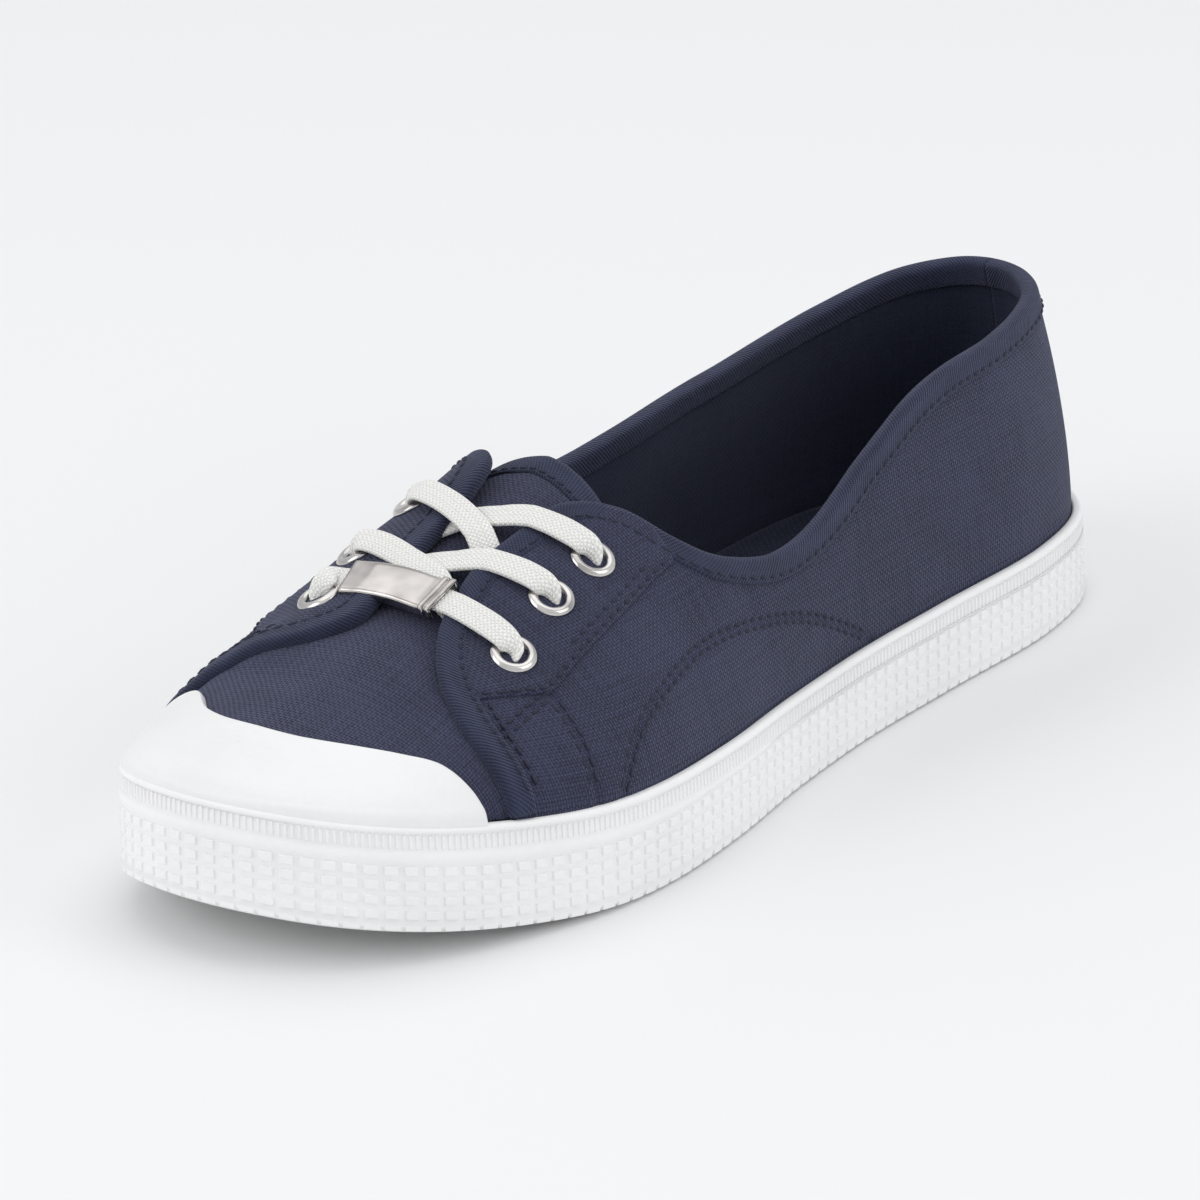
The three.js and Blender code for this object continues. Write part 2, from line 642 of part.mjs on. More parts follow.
addPiece("cupsole", makeCupsole(), WHITE_RUBBER);
addPiece("insole", makeInsole(), NAVY_LINING);
addPiece("upper", makeUpper(), NAVY_CANVAS);
addPiece("tongue", makeTongue(), NAVY_CANVAS);
addPiece("toe_cap", makeToeCap(), WHITE_RUBBER);
for (const place of eyeletPlaces()) addPiece(place.name, makeEyelet(place), POLISHED_STEEL);
addPiece("lace_bar", makeLaceBar(), WHITE_ELASTIC);
addPiece("lace_cross_middle", makeLaceCross(187.4, "middle"), WHITE_ELASTIC);
addPiece("lace_cross_back", makeLaceCross(176, "back"), WHITE_ELASTIC);
addPiece("lace_plate", makeLacePlate(), POLISHED_STEEL);

export default shoe;
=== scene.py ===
"""A left canvas sneaker with a moulded rubber cupsole, a rubber toe cap and flat elastic laces.

Metres in Blender, millimetres in the tables below. +Z is up, the toe points to -Y, and the lateral
(outer) side of the foot is +X. A station u is a distance from the back of the heel.
"""

import bpy
import bmesh
import math
import numpy as np
from mathutils import Matrix, Vector


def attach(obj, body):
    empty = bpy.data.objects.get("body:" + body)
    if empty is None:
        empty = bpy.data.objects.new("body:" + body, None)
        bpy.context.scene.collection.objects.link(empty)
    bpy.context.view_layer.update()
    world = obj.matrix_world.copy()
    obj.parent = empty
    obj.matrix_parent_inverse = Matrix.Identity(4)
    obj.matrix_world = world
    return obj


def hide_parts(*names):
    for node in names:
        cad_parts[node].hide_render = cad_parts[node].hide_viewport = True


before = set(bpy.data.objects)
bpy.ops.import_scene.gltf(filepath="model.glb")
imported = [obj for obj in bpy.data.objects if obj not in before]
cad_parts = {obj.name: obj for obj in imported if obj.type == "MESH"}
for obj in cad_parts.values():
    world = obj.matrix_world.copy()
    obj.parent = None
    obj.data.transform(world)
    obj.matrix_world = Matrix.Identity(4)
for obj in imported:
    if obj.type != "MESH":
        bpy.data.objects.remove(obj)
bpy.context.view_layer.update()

MM = 0.001
LATERAL = 1
MEDIAL = -1
SIDE_WORDS = {LATERAL: "lateral", MEDIAL: "medial"}

# ------------------------------------------------------------------ sizes

LENGTH = 252.0
TOE_SPRING = 10.7
SPRING_START = 180.0
CENTRE_SHIFT = -0.8
FLOOR_THICKNESS = 8.0
FEATHER_INSET = 2.8
TAPE_WIDTH = 4.4
STITCH_PITCH = 2.7
STAY_THICKNESS = 0.55
LACE_WIDTH = 5.2
LACE_THICKNESS = 1.3
NARROWING = [LACE_WIDTH * share for share in (0.66, 0.74, 0.86, 0.95)]

# Half widths of the outsole: station, lateral, medial.
OUTLINE = [
    (0, 0, 0), (5, 14.8, 14.6), (16, 25.5, 25), (38, 32, 31.3), (75, 33.5, 31), (105, 35, 29),
    (130, 38.2, 31), (155, 42.8, 37), (178, 45.2, 42.6), (195, 44.2, 43.6), (212, 39.6, 40.8),
    (230, 32, 34), (244, 20.8, 25), (252, -2.6, 2.6),
]

# The last: station at the rim, then ridge station, ridge x, ridge height, upright handle, and the
# crown handles to the lateral and medial side.
SECTIONS = [
    (0, 26, 1, 94, 28, 8, 8), (16, 34, 2, 94, 27, 12, 12), (38, 50, 3, 94, 26, 14, 14),
    (75, 82, 2.5, 92, 25, 15, 14), (105, 106, 0.5, 82, 22, 17, 17), (130, 128, -2, 70, 18.5, 20, 21),
    (155, 152, -3.5, 61.5, 14.5, 21.5, 24), (178, 176, -3.5, 54, 12, 22.5, 24),
    (195, 193, -3.5, 47.5, 10.5, 22, 22.5), (212, 209, -3.2, 41.5, 8, 20, 19),
    (230, 224, -3, 36.8, 5.5, 15, 13.5), (244, 233, -2.8, 34.8, 3.5, 9, 8.5),
    (252, 238, -2.6, 34, 3, 5.5, 5.5),
]

# Height of the collar above the floor: station, lateral, medial.
TOPLINE = [
    (0, 60.5, 60.5), (16, 60, 58), (38, 58.5, 54.5), (68, 56, 51.6), (90, 49, 50.4), (106, 43, 48.8),
    (121, 40.8, 47.2), (134, 43.2, 47.5), (144, 47.4, 50.5), (154, 56, 57.5), (160, 70, 70), (252, 70, 70),
]

# Edge of each quarter from where the collar ends, along the throat and down to the foxing:
# station at the rim, and share of the way up the section.
THROAT_EDGE = {
    LATERAL: [
        (148.5, 0.585), (152.5, 0.690), (157.9, 0.781), (163, 0.828), (172.2, 0.846), (182.3, 0.861),
        (189.5, 0.843), (196.6, 0.812), (202.7, 0.752), (207.0, 0.679), (209.8, 0.592), (212.0, 0.480),
        (213.3, 0.327), (214.0, 0.190), (214.3, 0.090), (214.5, 0.0),
    ],
    MEDIAL: [
        (148.5, 0.600), (151.5, 0.700), (153.8, 0.800), (157.0, 0.893), (162, 0.938), (169, 0.948),
        (176, 0.948), (184, 0.947), (191, 0.949), (197, 0.954), (201.5, 0.947), (205.1, 0.905),
        (208.2, 0.825), (211.0, 0.690), (214.2, 0.520), (216.2, 0.350), (217.4, 0.190), (218.0, 0.090),
        (218.3, 0.0),
    ],
}

# Back edge of the toe cap: x across the foot, station.
CAP_EDGE = [
    (-40, 217.5), (-30, 218), (-25.5, 219.5), (-22, 223), (-18, 227), (-11, 230.4), (-3, 231.4),
    (5, 230.8), (14, 227.2), (22, 222.6), (26, 219.9), (30, 218.9), (38, 218),
]

# Seams on each quarter, as stations and shares.
STAY_SEAM = [
    (150.3, 0.517), (157, 0.518), (166.7, 0.510), (176.2, 0.502), (185.5, 0.485), (193.8, 0.462),
    (198.3, 0.495), (202.1, 0.524), (206, 0.560), (209.6, 0.600),
]
CORNER_SEAM = [(193.8, 0.459), (199.5, 0.447), (205.9, 0.424), (212.6, 0.400)]
BALL_SEAM = [(193.9, 0.450), (194.4, 0.364), (194.9, 0.270), (196.2, 0.156), (196.6, 0.004)]
SADDLE_SEAM = [
    (190.5, 0.004), (186.5, 0.130), (181.5, 0.213), (175.7, 0.259), (168.9, 0.285), (160.1, 0.304),
    (150.9, 0.302), (139.1, 0.263), (126.4, 0.208), (117.3, 0.158), (106.5, 0.081), (97, 0.004),
]

EYELETS = {
    "front": {LATERAL: (193.6, 0.608), MEDIAL: (196.5, 0.770)},
    "middle": {LATERAL: (178.9, 0.657), MEDIAL: (182.5, 0.745)},
    "back": {LATERAL: (165.9, 0.659), MEDIAL: (168.0, 0.770)},
}


def smoothstep(low, high, x):
    s = np.clip((np.asarray(x, float) - low) / (high - low), 0, 1)
    return s * s * (3 - 2 * s)


def unit(vectors):
    return vectors / np.linalg.norm(vectors, axis=-1, keepdims=True)


def distance_along(line):
    """Distance from a line's first point to each of its points."""
    return np.concatenate([[0], np.cumsum(np.linalg.norm(np.diff(line, axis=0), axis=1))])


def along_line(at, run, line):
    """Points, or directions, of a line at the given distances."""
    return np.stack([np.interp(at, run, line[:, k]) for k in range(line.shape[1])], -1)


# ------------------------------------------------------------------ camera, light and floor


def lay_floor():
    bm = bmesh.new()
    bmesh.ops.create_grid(bm, x_segments=8, y_segments=8, size=6)
    mesh = bpy.data.meshes.new("floor")
    bm.to_mesh(mesh)
    bm.free()
    floor = bpy.data.objects.new("floor", mesh)
    bpy.context.collection.objects.link(floor)
    paint = bpy.data.materials.new("studio_floor")
    paint.use_nodes = True
    shader = paint.node_tree.nodes["Principled BSDF"]
    shader.inputs["Base Color"].default_value = (0.85, 0.85, 0.85, 1)
    shader.inputs["Roughness"].default_value = 0.9
    shader.inputs["Specular IOR Level"].default_value = 0.1
    mesh.materials.append(paint)


CAMERA_DISTANCE = 1.44


def aim_camera():
    turn, height, roll = (math.radians(angle) for angle in (37.5, 21.2, 1.36))
    pivot = Vector((CENTRE_SHIFT, -60, 20)) * MM
    right = Vector((math.cos(turn), math.sin(turn), 0))
    up = Vector((-math.sin(turn) * math.sin(height), math.cos(turn) * math.sin(height), math.cos(height)))
    back = Vector((math.sin(turn) * math.cos(height), -math.cos(turn) * math.cos(height), math.sin(height)))
    place = pivot + back * CAMERA_DISTANCE
    target = pivot + right * 0.0290 + up * 0.0235
    axis_z = (place - target).normalized()
    axis_x = right * math.cos(roll) - up * math.sin(roll)
    axis_x = (axis_x - axis_z * axis_x.dot(axis_z)).normalized()
    axis_y = axis_z.cross(axis_x)
    data = bpy.data.cameras.new("camera")
    data.lens = 246
    data.sensor_width = 36
    data.clip_start = 0.05
    data.clip_end = 30
    camera = bpy.data.objects.new("camera", data)
    camera.matrix_world = Matrix.Translation(place) @ Matrix((axis_x, axis_y, axis_z)).transposed().to_4x4()
    bpy.context.collection.objects.link(camera)
    bpy.context.scene.camera = camera


def add_panel_light(name, place, target, size, power, tint=(1, 1, 1)):
    data = bpy.data.lights.new(name, "AREA")
    data.shape = "RECTANGLE"
    data.size = size[0]
    data.size_y = size[1]
    data.energy = power
    data.color = tint
    light = bpy.data.objects.new(name, data)
    direction = Vector(target) - Vector(place)
    light.matrix_world = Matrix.Translation(place) @ direction.to_track_quat("-Z", "Y").to_matrix().to_4x4()
    bpy.context.collection.objects.link(light)


def light_studio():
    world = bpy.data.worlds.new("studio")
    bpy.context.scene.world = world
    world.use_nodes = True
    backdrop = world.node_tree.nodes["Background"]
    backdrop.inputs["Color"].default_value = (0.97, 0.98, 1.0, 1)
    backdrop.inputs["Strength"].default_value = 0.76
    add_panel_light("overhead", (-0.15, 0.1, 1.3), (0, 0, 0.03), (1.5, 1.5), 4.8)
    add_panel_light("front_left", (-0.55, -1.15, 0.75), (0, -0.03, 0.03), (0.9, 0.9), 3.8)
    add_panel_light("outer_side", (1.2, 0.2, 0.7), (0, 0, 0.03), (0.9, 0.9), 2.9)
    bpy.context.scene.view_settings.view_transform = "Standard"


aim_camera()
light_studio()
lay_floor()

# ------------------------------------------------------------------ curves through the tables


def angle_of(u):
    return np.arccos(np.clip(1 - 2 * np.asarray(u, float) / LENGTH, -1, 1))


def station_at(angle):
    return LENGTH * (1 - np.cos(angle)) / 2


def station_of(y):
    return LENGTH / 2 - y


def track(rows, column, other=None, sign=1):
    """A smooth curve through one column of a table, over the angle from 0 at the heel to pi at the
    toe. Past each end it carries on into the other side's column."""
    other = column if other is None else other
    before = [(-float(angle_of(r[0])), sign * r[other]) for r in rows[3:0:-1]]
    along = [(float(angle_of(r[0])), r[column]) for r in rows]
    after = [(2 * math.pi - float(angle_of(r[0])), sign * r[other]) for r in rows[-2:-5:-1]]
    at, value = np.array(before + along + after, float).T
    gap = np.diff(at)
    rise = np.diff(value) / gap
    slope = np.concatenate([
        rise[:1],
        (rise[:-1] * gap[1:] + rise[1:] * gap[:-1]) / (gap[1:] + gap[:-1]),
        rise[-1:],
    ])

    def curve(angle):
        i = np.clip(np.searchsorted(at, angle, side="right") - 1, 0, len(at) - 2)
        s = (angle - at[i]) / gap[i]
        start = (2 * s**3 - 3 * s * s + 1) * value[i] + (s**3 - 2 * s * s + s) * gap[i] * slope[i]
        return start + (3 * s * s - 2 * s**3) * value[i + 1] + (s**3 - s * s) * gap[i] * slope[i + 1]

    return curve


half_width = {LATERAL: track(OUTLINE, 1, 2, -1), MEDIAL: track(OUTLINE, 2, 1, -1)}
collar_height = {LATERAL: track(TOPLINE, 1), MEDIAL: track(TOPLINE, 2)}
ridge_u, ridge_x, ridge_z, upright = (track(SECTIONS, column) for column in (1, 2, 3, 4))
crown = {LATERAL: track(SECTIONS, 5), MEDIAL: track(SECTIONS, 6)}


def spring(u):
    return TOE_SPRING * np.maximum(0, (u - SPRING_START) / (LENGTH - SPRING_START)) ** 2


def rim_height(u):
    return spring(u) + 17.1 + 2.5 * smoothstep(110, 220, u)


def outline(angle, side, inset=0.0):
    """A point of the sole's outline moved in by inset, and the level direction out of it."""
    def at(a):
        return np.stack([side * half_width[side](a), LENGTH / 2 * np.cos(a)], -1)

    step = at(angle + 1e-3) - at(angle - 1e-3)
    step = unit(step)
    outward = side * np.stack([-step[..., 1], step[..., 0]], -1)
    return at(angle) - outward * np.asarray(inset, float)[..., None], outward


def last_surface(angle, side, share):
    """The last's surface: share is 0 at the rim and 1 at the ridge over the foot."""
    angle, share = np.broadcast_arrays(np.asarray(angle, float), np.asarray(share, float))
    foot, _ = outline(angle, side, FEATHER_INSET)
    rim = np.concatenate([foot, rim_height(station_of(foot[..., 1]))[..., None]], -1)
    ridge = np.stack([ridge_x(angle), LENGTH / 2 - ridge_u(angle), ridge_z(angle)], -1)
    inside = np.clip(angle, 2e-3, math.pi - 2e-3)
    ahead, behind = inside + 1e-3, inside - 1e-3
    slope = (ridge_z(ahead) - ridge_z(behind)) / (ridge_u(behind) - ridge_u(ahead))
    out = foot - ridge[..., :2]
    out = unit(out)
    climb = rim + np.stack([0 * angle, 0 * angle, upright(angle)], -1)
    level = np.stack([out[..., 0], out[..., 1], slope * out[..., 1]], -1)
    shoulder = ridge + level * crown[side](angle)[..., None]
    v = share[..., None]
    w = 1 - v
    return w**3 * rim + 3 * w * w * v * climb + 3 * w * v * v * shoulder + v**3 * ridge


def last_frame(angle, side, share):
    """Point, outward normal, and the derivatives along the angle and along the share."""
    angle, share = np.broadcast_arrays(np.asarray(angle, float), np.asarray(share, float))
    low = np.clip(share - 1e-3, 0, 0.998)
    high = low + 2e-3
    by_share = (last_surface(angle, side, high) - last_surface(angle, side, low)) / 2e-3
    by_angle = (last_surface(angle + 1e-3, side, share) - last_surface(angle - 1e-3, side, share)) / 2e-3
    normal = np.cross(by_share, by_angle) * side
    normal = unit(normal)
    return last_surface(angle, side, share), normal, by_angle, by_share


def off_last(angle, side, share, lift):
    point, normal, _, _ = last_frame(angle, side, share)
    return point + normal * np.asarray(lift, float)[..., None]


def solve_share(angle, side, is_below):
    """The highest share on each section for which is_below still holds."""
    low = np.zeros_like(np.asarray(angle, float))
    high = np.ones_like(low)
    for _ in range(30):
        middle = (low + high) / 2
        below = is_below(last_surface(angle, side, middle))
        low = np.where(below, middle, low)
        high = np.where(below, high, middle)
    return (low + high) / 2


def share_at_height(angle, side, height):
    return solve_share(angle, side, lambda p: p[..., 2] < height)


def smooth_line(points, count):
    """A centripetal curve through the points, as count points spaced evenly along it."""
    points = np.asarray(points, float)
    ends = [2 * points[0] - points[1], *points, 2 * points[-1] - points[-2]]
    fine = []
    for a, b, c, d in zip(ends, ends[1:], ends[2:], ends[3:]):
        gaps = [max(1e-6, np.linalg.norm(q - p)) ** 0.5 for p, q in ((a, b), (b, c), (c, d))]
        knots = np.cumsum([0] + gaps)
        for t in np.linspace(knots[1], knots[2], 24, endpoint=False):
            rows = [a, b, c, d]
            for reach in (1, 2, 3):
                rows = [
                    ((end - t) * one + (t - start) * two) / (end - start)
                    for start, end, one, two in zip(knots, knots[reach:], rows, rows[1:])
                ]
            fine.append(rows[0])
    fine = np.array(fine + [points[-1]])
    run = distance_along(fine)
    even = np.linspace(0, run[-1], count)
    return along_line(even, run, fine)


class Seam:
    """A line drawn on the last. It turns flat work, measured in millimetres along, across and off
    the line, into places on the shoe. Across is towards the heel or up, as inward says."""

    def __init__(self, side, points, inward=1, count=500):
        self.side = side
        scale = np.array([100.0, 45.0])
        flat = np.array([(float(angle_of(u)), v) for u, v in points]) * scale
        angle, share = (smooth_line(flat, count) / scale).T
        share = np.clip(share, 0, 1)
        point = last_surface(angle, side, share)
        run = distance_along(point)
        self.length = run[-1]
        self.mm = np.linspace(0, self.length, count)
        self.angle = np.interp(self.mm, run, angle)
        self.share = np.interp(self.mm, run, share)
        point, normal, by_angle, by_share = last_frame(self.angle, side, self.share)
        along = np.gradient(point, axis=0)
        along = unit(along)
        across = np.cross(normal, along) * inward
        across = unit(across)
        # One millimetre across, as steps of angle and of share.
        aa = (by_angle * by_angle).sum(1)
        av = (by_angle * by_share).sum(1)
        vv = (by_share * by_share).sum(1)
        pa, pv = ((across * p).sum(1) for p in (by_angle, by_share))
        spread = aa * vv - av * av
        self.step_angle = (pa * vv - pv * av) / spread
        self.step_share = (pv * aa - pa * av) / spread
        self.across = across
        self.points = point

    def place(self, mm, across, lift):
        def at(values):
            return np.interp(mm, self.mm, values)

        angle = at(self.angle) + across * at(self.step_angle)
        share = at(self.share) + across * at(self.step_share)
        inside = np.clip(share, 0, 1)
        point = off_last(angle, self.side, inside, lift)
        direction = np.stack([at(self.across[:, k]) for k in range(3)], -1)
        over = (share - inside) / np.where(np.abs(at(self.step_share)) < 1e-6, 1, at(self.step_share))
        return point + direction * over[..., None]


# ------------------------------------------------------------------ making pieces


def add_piece(name, bm, material, smooth=True, merge=0.0):
    """Turns millimetres into metres, shifts the piece into the shoe's frame and hangs it on it."""
    if merge:
        bmesh.ops.remove_doubles(bm, verts=bm.verts, dist=merge)
    bmesh.ops.translate(bm, verts=bm.verts, vec=(CENTRE_SHIFT, 0, 0))
    bmesh.ops.scale(bm, verts=bm.verts, vec=(MM, MM, MM))
    for face in bm.faces:
        face.smooth = smooth
    mesh = bpy.data.meshes.new(name)
    bm.to_mesh(mesh)
    bm.free()
    piece = bpy.data.objects.new(name, mesh)
    bpy.context.collection.objects.link(piece)
    for each in material if isinstance(material, (list, tuple)) else [material]:
        mesh.materials.append(each)
    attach(piece, "root")
    return piece


def flat_sheet(columns, rows):
    """A unit sheet, 0 to 1 both ways, with a cloth map to be filled in, and its flat points."""
    bm = bmesh.new()
    bm.loops.layers.uv.new("Cloth")
    bmesh.ops.create_grid(bm, x_segments=columns, y_segments=rows, size=1)
    co = np.array([v.co[:] for v in bm.verts])
    low, high = co.min(0), co.max(0)
    for v in bm.verts:
        v.co.x = (v.co.x - low[0]) / (high[0] - low[0])
        v.co.y = (v.co.y - low[1]) / (high[1] - low[1])
    return bm, points_of(bm)


def move_points(bm, places, cloth=None, outward=None):
    """Moves each vertex to its place, writes the cloth map in millimetres and keeps the way out."""
    bm.verts.index_update()
    if outward is not None:
        layer = bm.verts.layers.float_vector.new("outward")
        for v, way in zip(bm.verts, np.broadcast_to(outward, (len(bm.verts), 3))):
            v[layer] = Vector(way)
    if cloth is not None:
        layer = bm.loops.layers.uv.verify()
        for face in bm.faces:
            for loop in face.loops:
                loop[layer].uv = cloth[loop.vert.index]
    for v, place in zip(bm.verts, places):
        v.co = place


def points_of(bm):
    return np.array([v.co[:] for v in bm.verts])


def face_out(bm):
    bmesh.ops.recalc_face_normals(bm, faces=bm.faces)


def on_side(across, side):
    return across >= 0 if side == LATERAL else across < 0


def close_tube(bm):
    """Joins a rolled-up sheet along its seam and covers both ends."""
    bmesh.ops.remove_doubles(bm, verts=bm.verts, dist=1e-3)
    bmesh.ops.holes_fill(bm, edges=[e for e in bm.edges if e.is_boundary], sides=0)
    face_out(bm)


def thicken(bm, thickness, weld=1e-3):
    """Gives a sheet a wall: a second face is extruded from it, against the way out."""
    bmesh.ops.remove_doubles(bm, verts=bm.verts, dist=weld)
    layer = bm.verts.layers.float_vector["outward"]
    made = bmesh.ops.extrude_face_region(bm, geom=bm.faces[:], use_keep_orig=True)["geom"]
    for v in made:
        if isinstance(v, bmesh.types.BMVert):
            v.co -= v[layer] * thickness
    bm.verts.layers.float_vector.remove(layer)
    bmesh.ops.remove_doubles(bm, verts=bm.verts, dist=1e-3)
    face_out(bm)


def merge_into(whole, part):
    """Adds one bmesh to another."""
    mesh = bpy.data.meshes.new("part")
    part.to_mesh(mesh)
    part.free()
    whole.from_mesh(mesh)
    bpy.data.meshes.remove(mesh)


def repeat_along(bm, pitch, count, axis=(1, 0, 0)):
    """Copies everything in bm in a straight row."""
    if count > 1:
        step = Vector(axis) * pitch
        bmesh.ops.spin(
            bm, geom=bm.verts[:] + bm.edges[:] + bm.faces[:], cent=(0, 0, 0), axis=(0, 0, 1), dvec=step,
            angle=0, steps=count - 1, use_duplicate=True,
        )


# ------------------------------------------------------------------ materials


class Paint:
    """A few short words for wiring shader nodes."""

    def __init__(self, name):
        self.material = bpy.data.materials.new(name)
        self.material.use_nodes = True
        self.tree = self.material.node_tree
        self.shader = self.tree.nodes["Principled BSDF"]

    def node(self, kind, **settings):
        made = self.tree.nodes.new(kind)
        for key, value in settings.items():
            setattr(made, key, value)
        return made

    def feed(self, socket, value):
        if isinstance(value, bpy.types.NodeSocket):
            self.tree.links.new(value, socket)
        else:
            socket.default_value = value

    def math(self, operation, a, b=0.0):
        made = self.node("ShaderNodeMath", operation=operation)
        for socket, value in zip(made.inputs, (a, b)):
            self.feed(socket, value)
        return made.outputs[0]

    def add(self, a, b):
        return self.math("ADD", a, b)

    def less(self, a, b):
        return self.math("SUBTRACT", a, b)

    def times(self, a, b):
        return self.math("MULTIPLY", a, b)

    def sine(self, a):
        return self.math("SINE", a)

    def size(self, a):
        return self.math("ABSOLUTE", a)

    def remap(self, value, from_low, from_high, to_low, to_high):
        made = self.node("ShaderNodeMapRange")
        for socket, each in zip(made.inputs, (value, from_low, from_high, to_low, to_high)):
            self.feed(socket, each)
        return made.outputs[0]

    def blend(self, factor, dark, light, blend_type="MIX"):
        made = self.node("ShaderNodeMix", data_type="RGBA", blend_type=blend_type)
        self.feed(made.inputs[0], factor)
        self.feed(made.inputs[6], dark)
        self.feed(made.inputs[7], light)
        return made.outputs[2]

    def noise(self, vector, scale, detail=2.0, roughness=0.5):
        made = self.node("ShaderNodeTexNoise")
        self.feed(made.inputs["Vector"], vector)
        made.inputs["Scale"].default_value = scale
        made.inputs["Detail"].default_value = detail
        made.inputs["Roughness"].default_value = roughness
        return made.outputs["Fac"]

    def object_mm(self):
        """Object coordinates in millimetres."""
        coordinate = self.node("ShaderNodeTexCoord").outputs["Object"]
        made = self.node("ShaderNodeVectorMath", operation="SCALE")
        self.feed(made.inputs[0], coordinate)
        made.inputs["Scale"].default_value = 1 / MM
        return made.outputs[0]

    def cloth_mm(self):
        """The piece's own cloth map, in millimetres, and its two parts."""
        uv = self.node("ShaderNodeUVMap", uv_map="Cloth").outputs[0]
        parts = self.node("ShaderNodeSeparateXYZ")
        self.feed(parts.inputs[0], uv)
        return uv, parts.outputs[0], parts.outputs[1]

    def stretch(self, vector, factors):
        made = self.node("ShaderNodeVectorMath", operation="MULTIPLY")
        self.feed(made.inputs[0], vector)
        made.inputs[1].default_value = factors
        return made.outputs[0]

    def bump(self, height, distance, strength=1.0):
        made = self.node("ShaderNodeBump")
        self.feed(made.inputs["Height"], height)
        made.inputs["Distance"].default_value = distance * MM
        made.inputs["Strength"].default_value = strength
        self.feed(self.shader.inputs["Normal"], made.outputs[0])
        return made

    def set(self, **values):
        for name, value in values.items():
            self.feed(self.shader.inputs[name.replace("_", " ")], value)


BLUISH = (0.62, 0.66, 0.85, 1)


def weave_paint(name, dark, light, pitch, slub=0.5, bump=0.16, sheen=0.25):
    """Plain-woven canvas: yarns over and under each other with painted shade in the dips between them,
    uneven yarns and a soft mottle.
    """
    p = Paint(name)
    uv, along, up = p.cloth_mm()
    wander = p.noise(p.stretch(uv, (0.08, 0.08, 1)), 1.0)
    half_turn = math.pi / pitch
    warp = p.sine(p.times(p.add(along, p.times(wander, 1.2)), half_turn))
    weft = p.sine(p.times(p.add(up, p.times(wander, 0.9)), half_turn))
    over = p.remap(p.times(warp, weft), -0.12, 0.12, 0, 1)
    warp_yarn = p.size(warp)
    weft_yarn = p.size(weft)
    lift = p.add(p.times(over, warp_yarn), p.times(p.less(1.0, over), weft_yarn))
    warp_slub = p.noise(p.stretch(uv, (1 / pitch, 0.06, 1)), 1.1, 2)
    weft_slub = p.noise(p.stretch(uv, (0.06, 1 / pitch, 1)), 1.1, 2)
    yarn = p.add(warp_slub, weft_slub)
    mottle = p.noise(p.object_mm(), 0.05, 3)
    fleck = p.noise(p.stretch(uv, (1.6, 1.6, 1)), 1.0, 1)
    # The yarn crowns are painted lighter and the dips between yarns darker, following the weave's height:
    # painted shade. The slub, fleck and mottle vary at random.
    tone = p.times(p.remap(lift, 0.15, 0.95, 0.1, 0.85), p.remap(yarn, 0.7, 1.3, 1 - slub, 1 + slub))
    tone = p.add(tone, p.remap(fleck, 0.3, 0.7, -0.16, 0.16))
    tone = p.add(tone, p.remap(mottle, 0.3, 0.7, -0.12, 0.12))
    p.set(Base_Color=p.blend(tone, dark, light), Roughness=0.92, Specular_IOR_Level=0.2)
    p.set(Sheen_Weight=sheen, Sheen_Roughness=0.5, Sheen_Tint=BLUISH)
    p.bump(p.add(lift, p.times(yarn, 0.5)), bump)
    return p.material


def tape_paint(name, dark, light, pitch):
    """Fine diagonal twill, for bindings, with painted shade in its furrows."""
    p = Paint(name)
    uv, along, up = p.cloth_mm()
    wale = p.sine(p.times(p.add(along, p.times(up, 0.8)), 2 * math.pi / pitch))
    cross = p.sine(p.times(p.less(along, up), 2 * math.pi / (pitch * 0.8)))
    height = p.add(wale, p.times(cross, 0.35))
    rub = p.noise(p.stretch(uv, (0.12, 0.5, 1)), 1.0, 3)
    # The raised wales are painted lighter and the furrows darker, following the twill's height: painted
    # shade. The rub noise varies at random.
    tone = p.add(p.remap(height, -1.2, 1.2, 0.15, 0.8), p.remap(rub, 0.3, 0.7, -0.2, 0.2))
    p.set(Base_Color=p.blend(tone, dark, light), Roughness=0.85, Specular_IOR_Level=0.25)
    p.set(Sheen_Weight=0.2, Sheen_Roughness=0.45, Sheen_Tint=BLUISH)
    p.bump(height, 0.09)
    return p.material


def thread_paint(name, dark, light):
    p = Paint(name)
    twist = p.noise(p.object_mm(), 1.6, 2)
    p.set(Base_Color=p.blend(twist, dark, light), Roughness=0.7, Specular_IOR_Level=0.35)
    p.bump(twist, 0.05)
    return p.material


def rubber_paint(name, shade=0.91, gloss=0.42):
    """Moulded white rubber: a faint grain, and a colour a touch darker and yellower in random patches and
    in the low spots of the fine speckled bump.
    """
    p = Paint(name)
    mm = p.object_mm()
    cloud = p.noise(mm, 0.035, 3)
    grain = p.noise(mm, 3.2, 3)
    speck = p.noise(mm, 0.6, 4, 0.65)
    # Darker and slightly yellower where the random cloud noise is low, and where the speck noise, which
    # also sets the bump, is low.
    tone = p.add(p.times(cloud, 0.7), p.times(speck, 0.3))
    low = (shade * 0.955, shade * 0.957, shade * 0.95, 1)
    high = (shade, shade, shade * 0.998, 1)
    p.set(Base_Color=p.blend(p.remap(tone, 0.38, 0.6, 0, 1), low, high))
    p.set(Roughness=p.remap(speck, 0.3, 0.7, gloss - 0.06, gloss + 0.1), Specular_IOR_Level=0.42)
    p.bump(p.add(p.times(grain, 0.4), speck), 0.035)
    return p.material


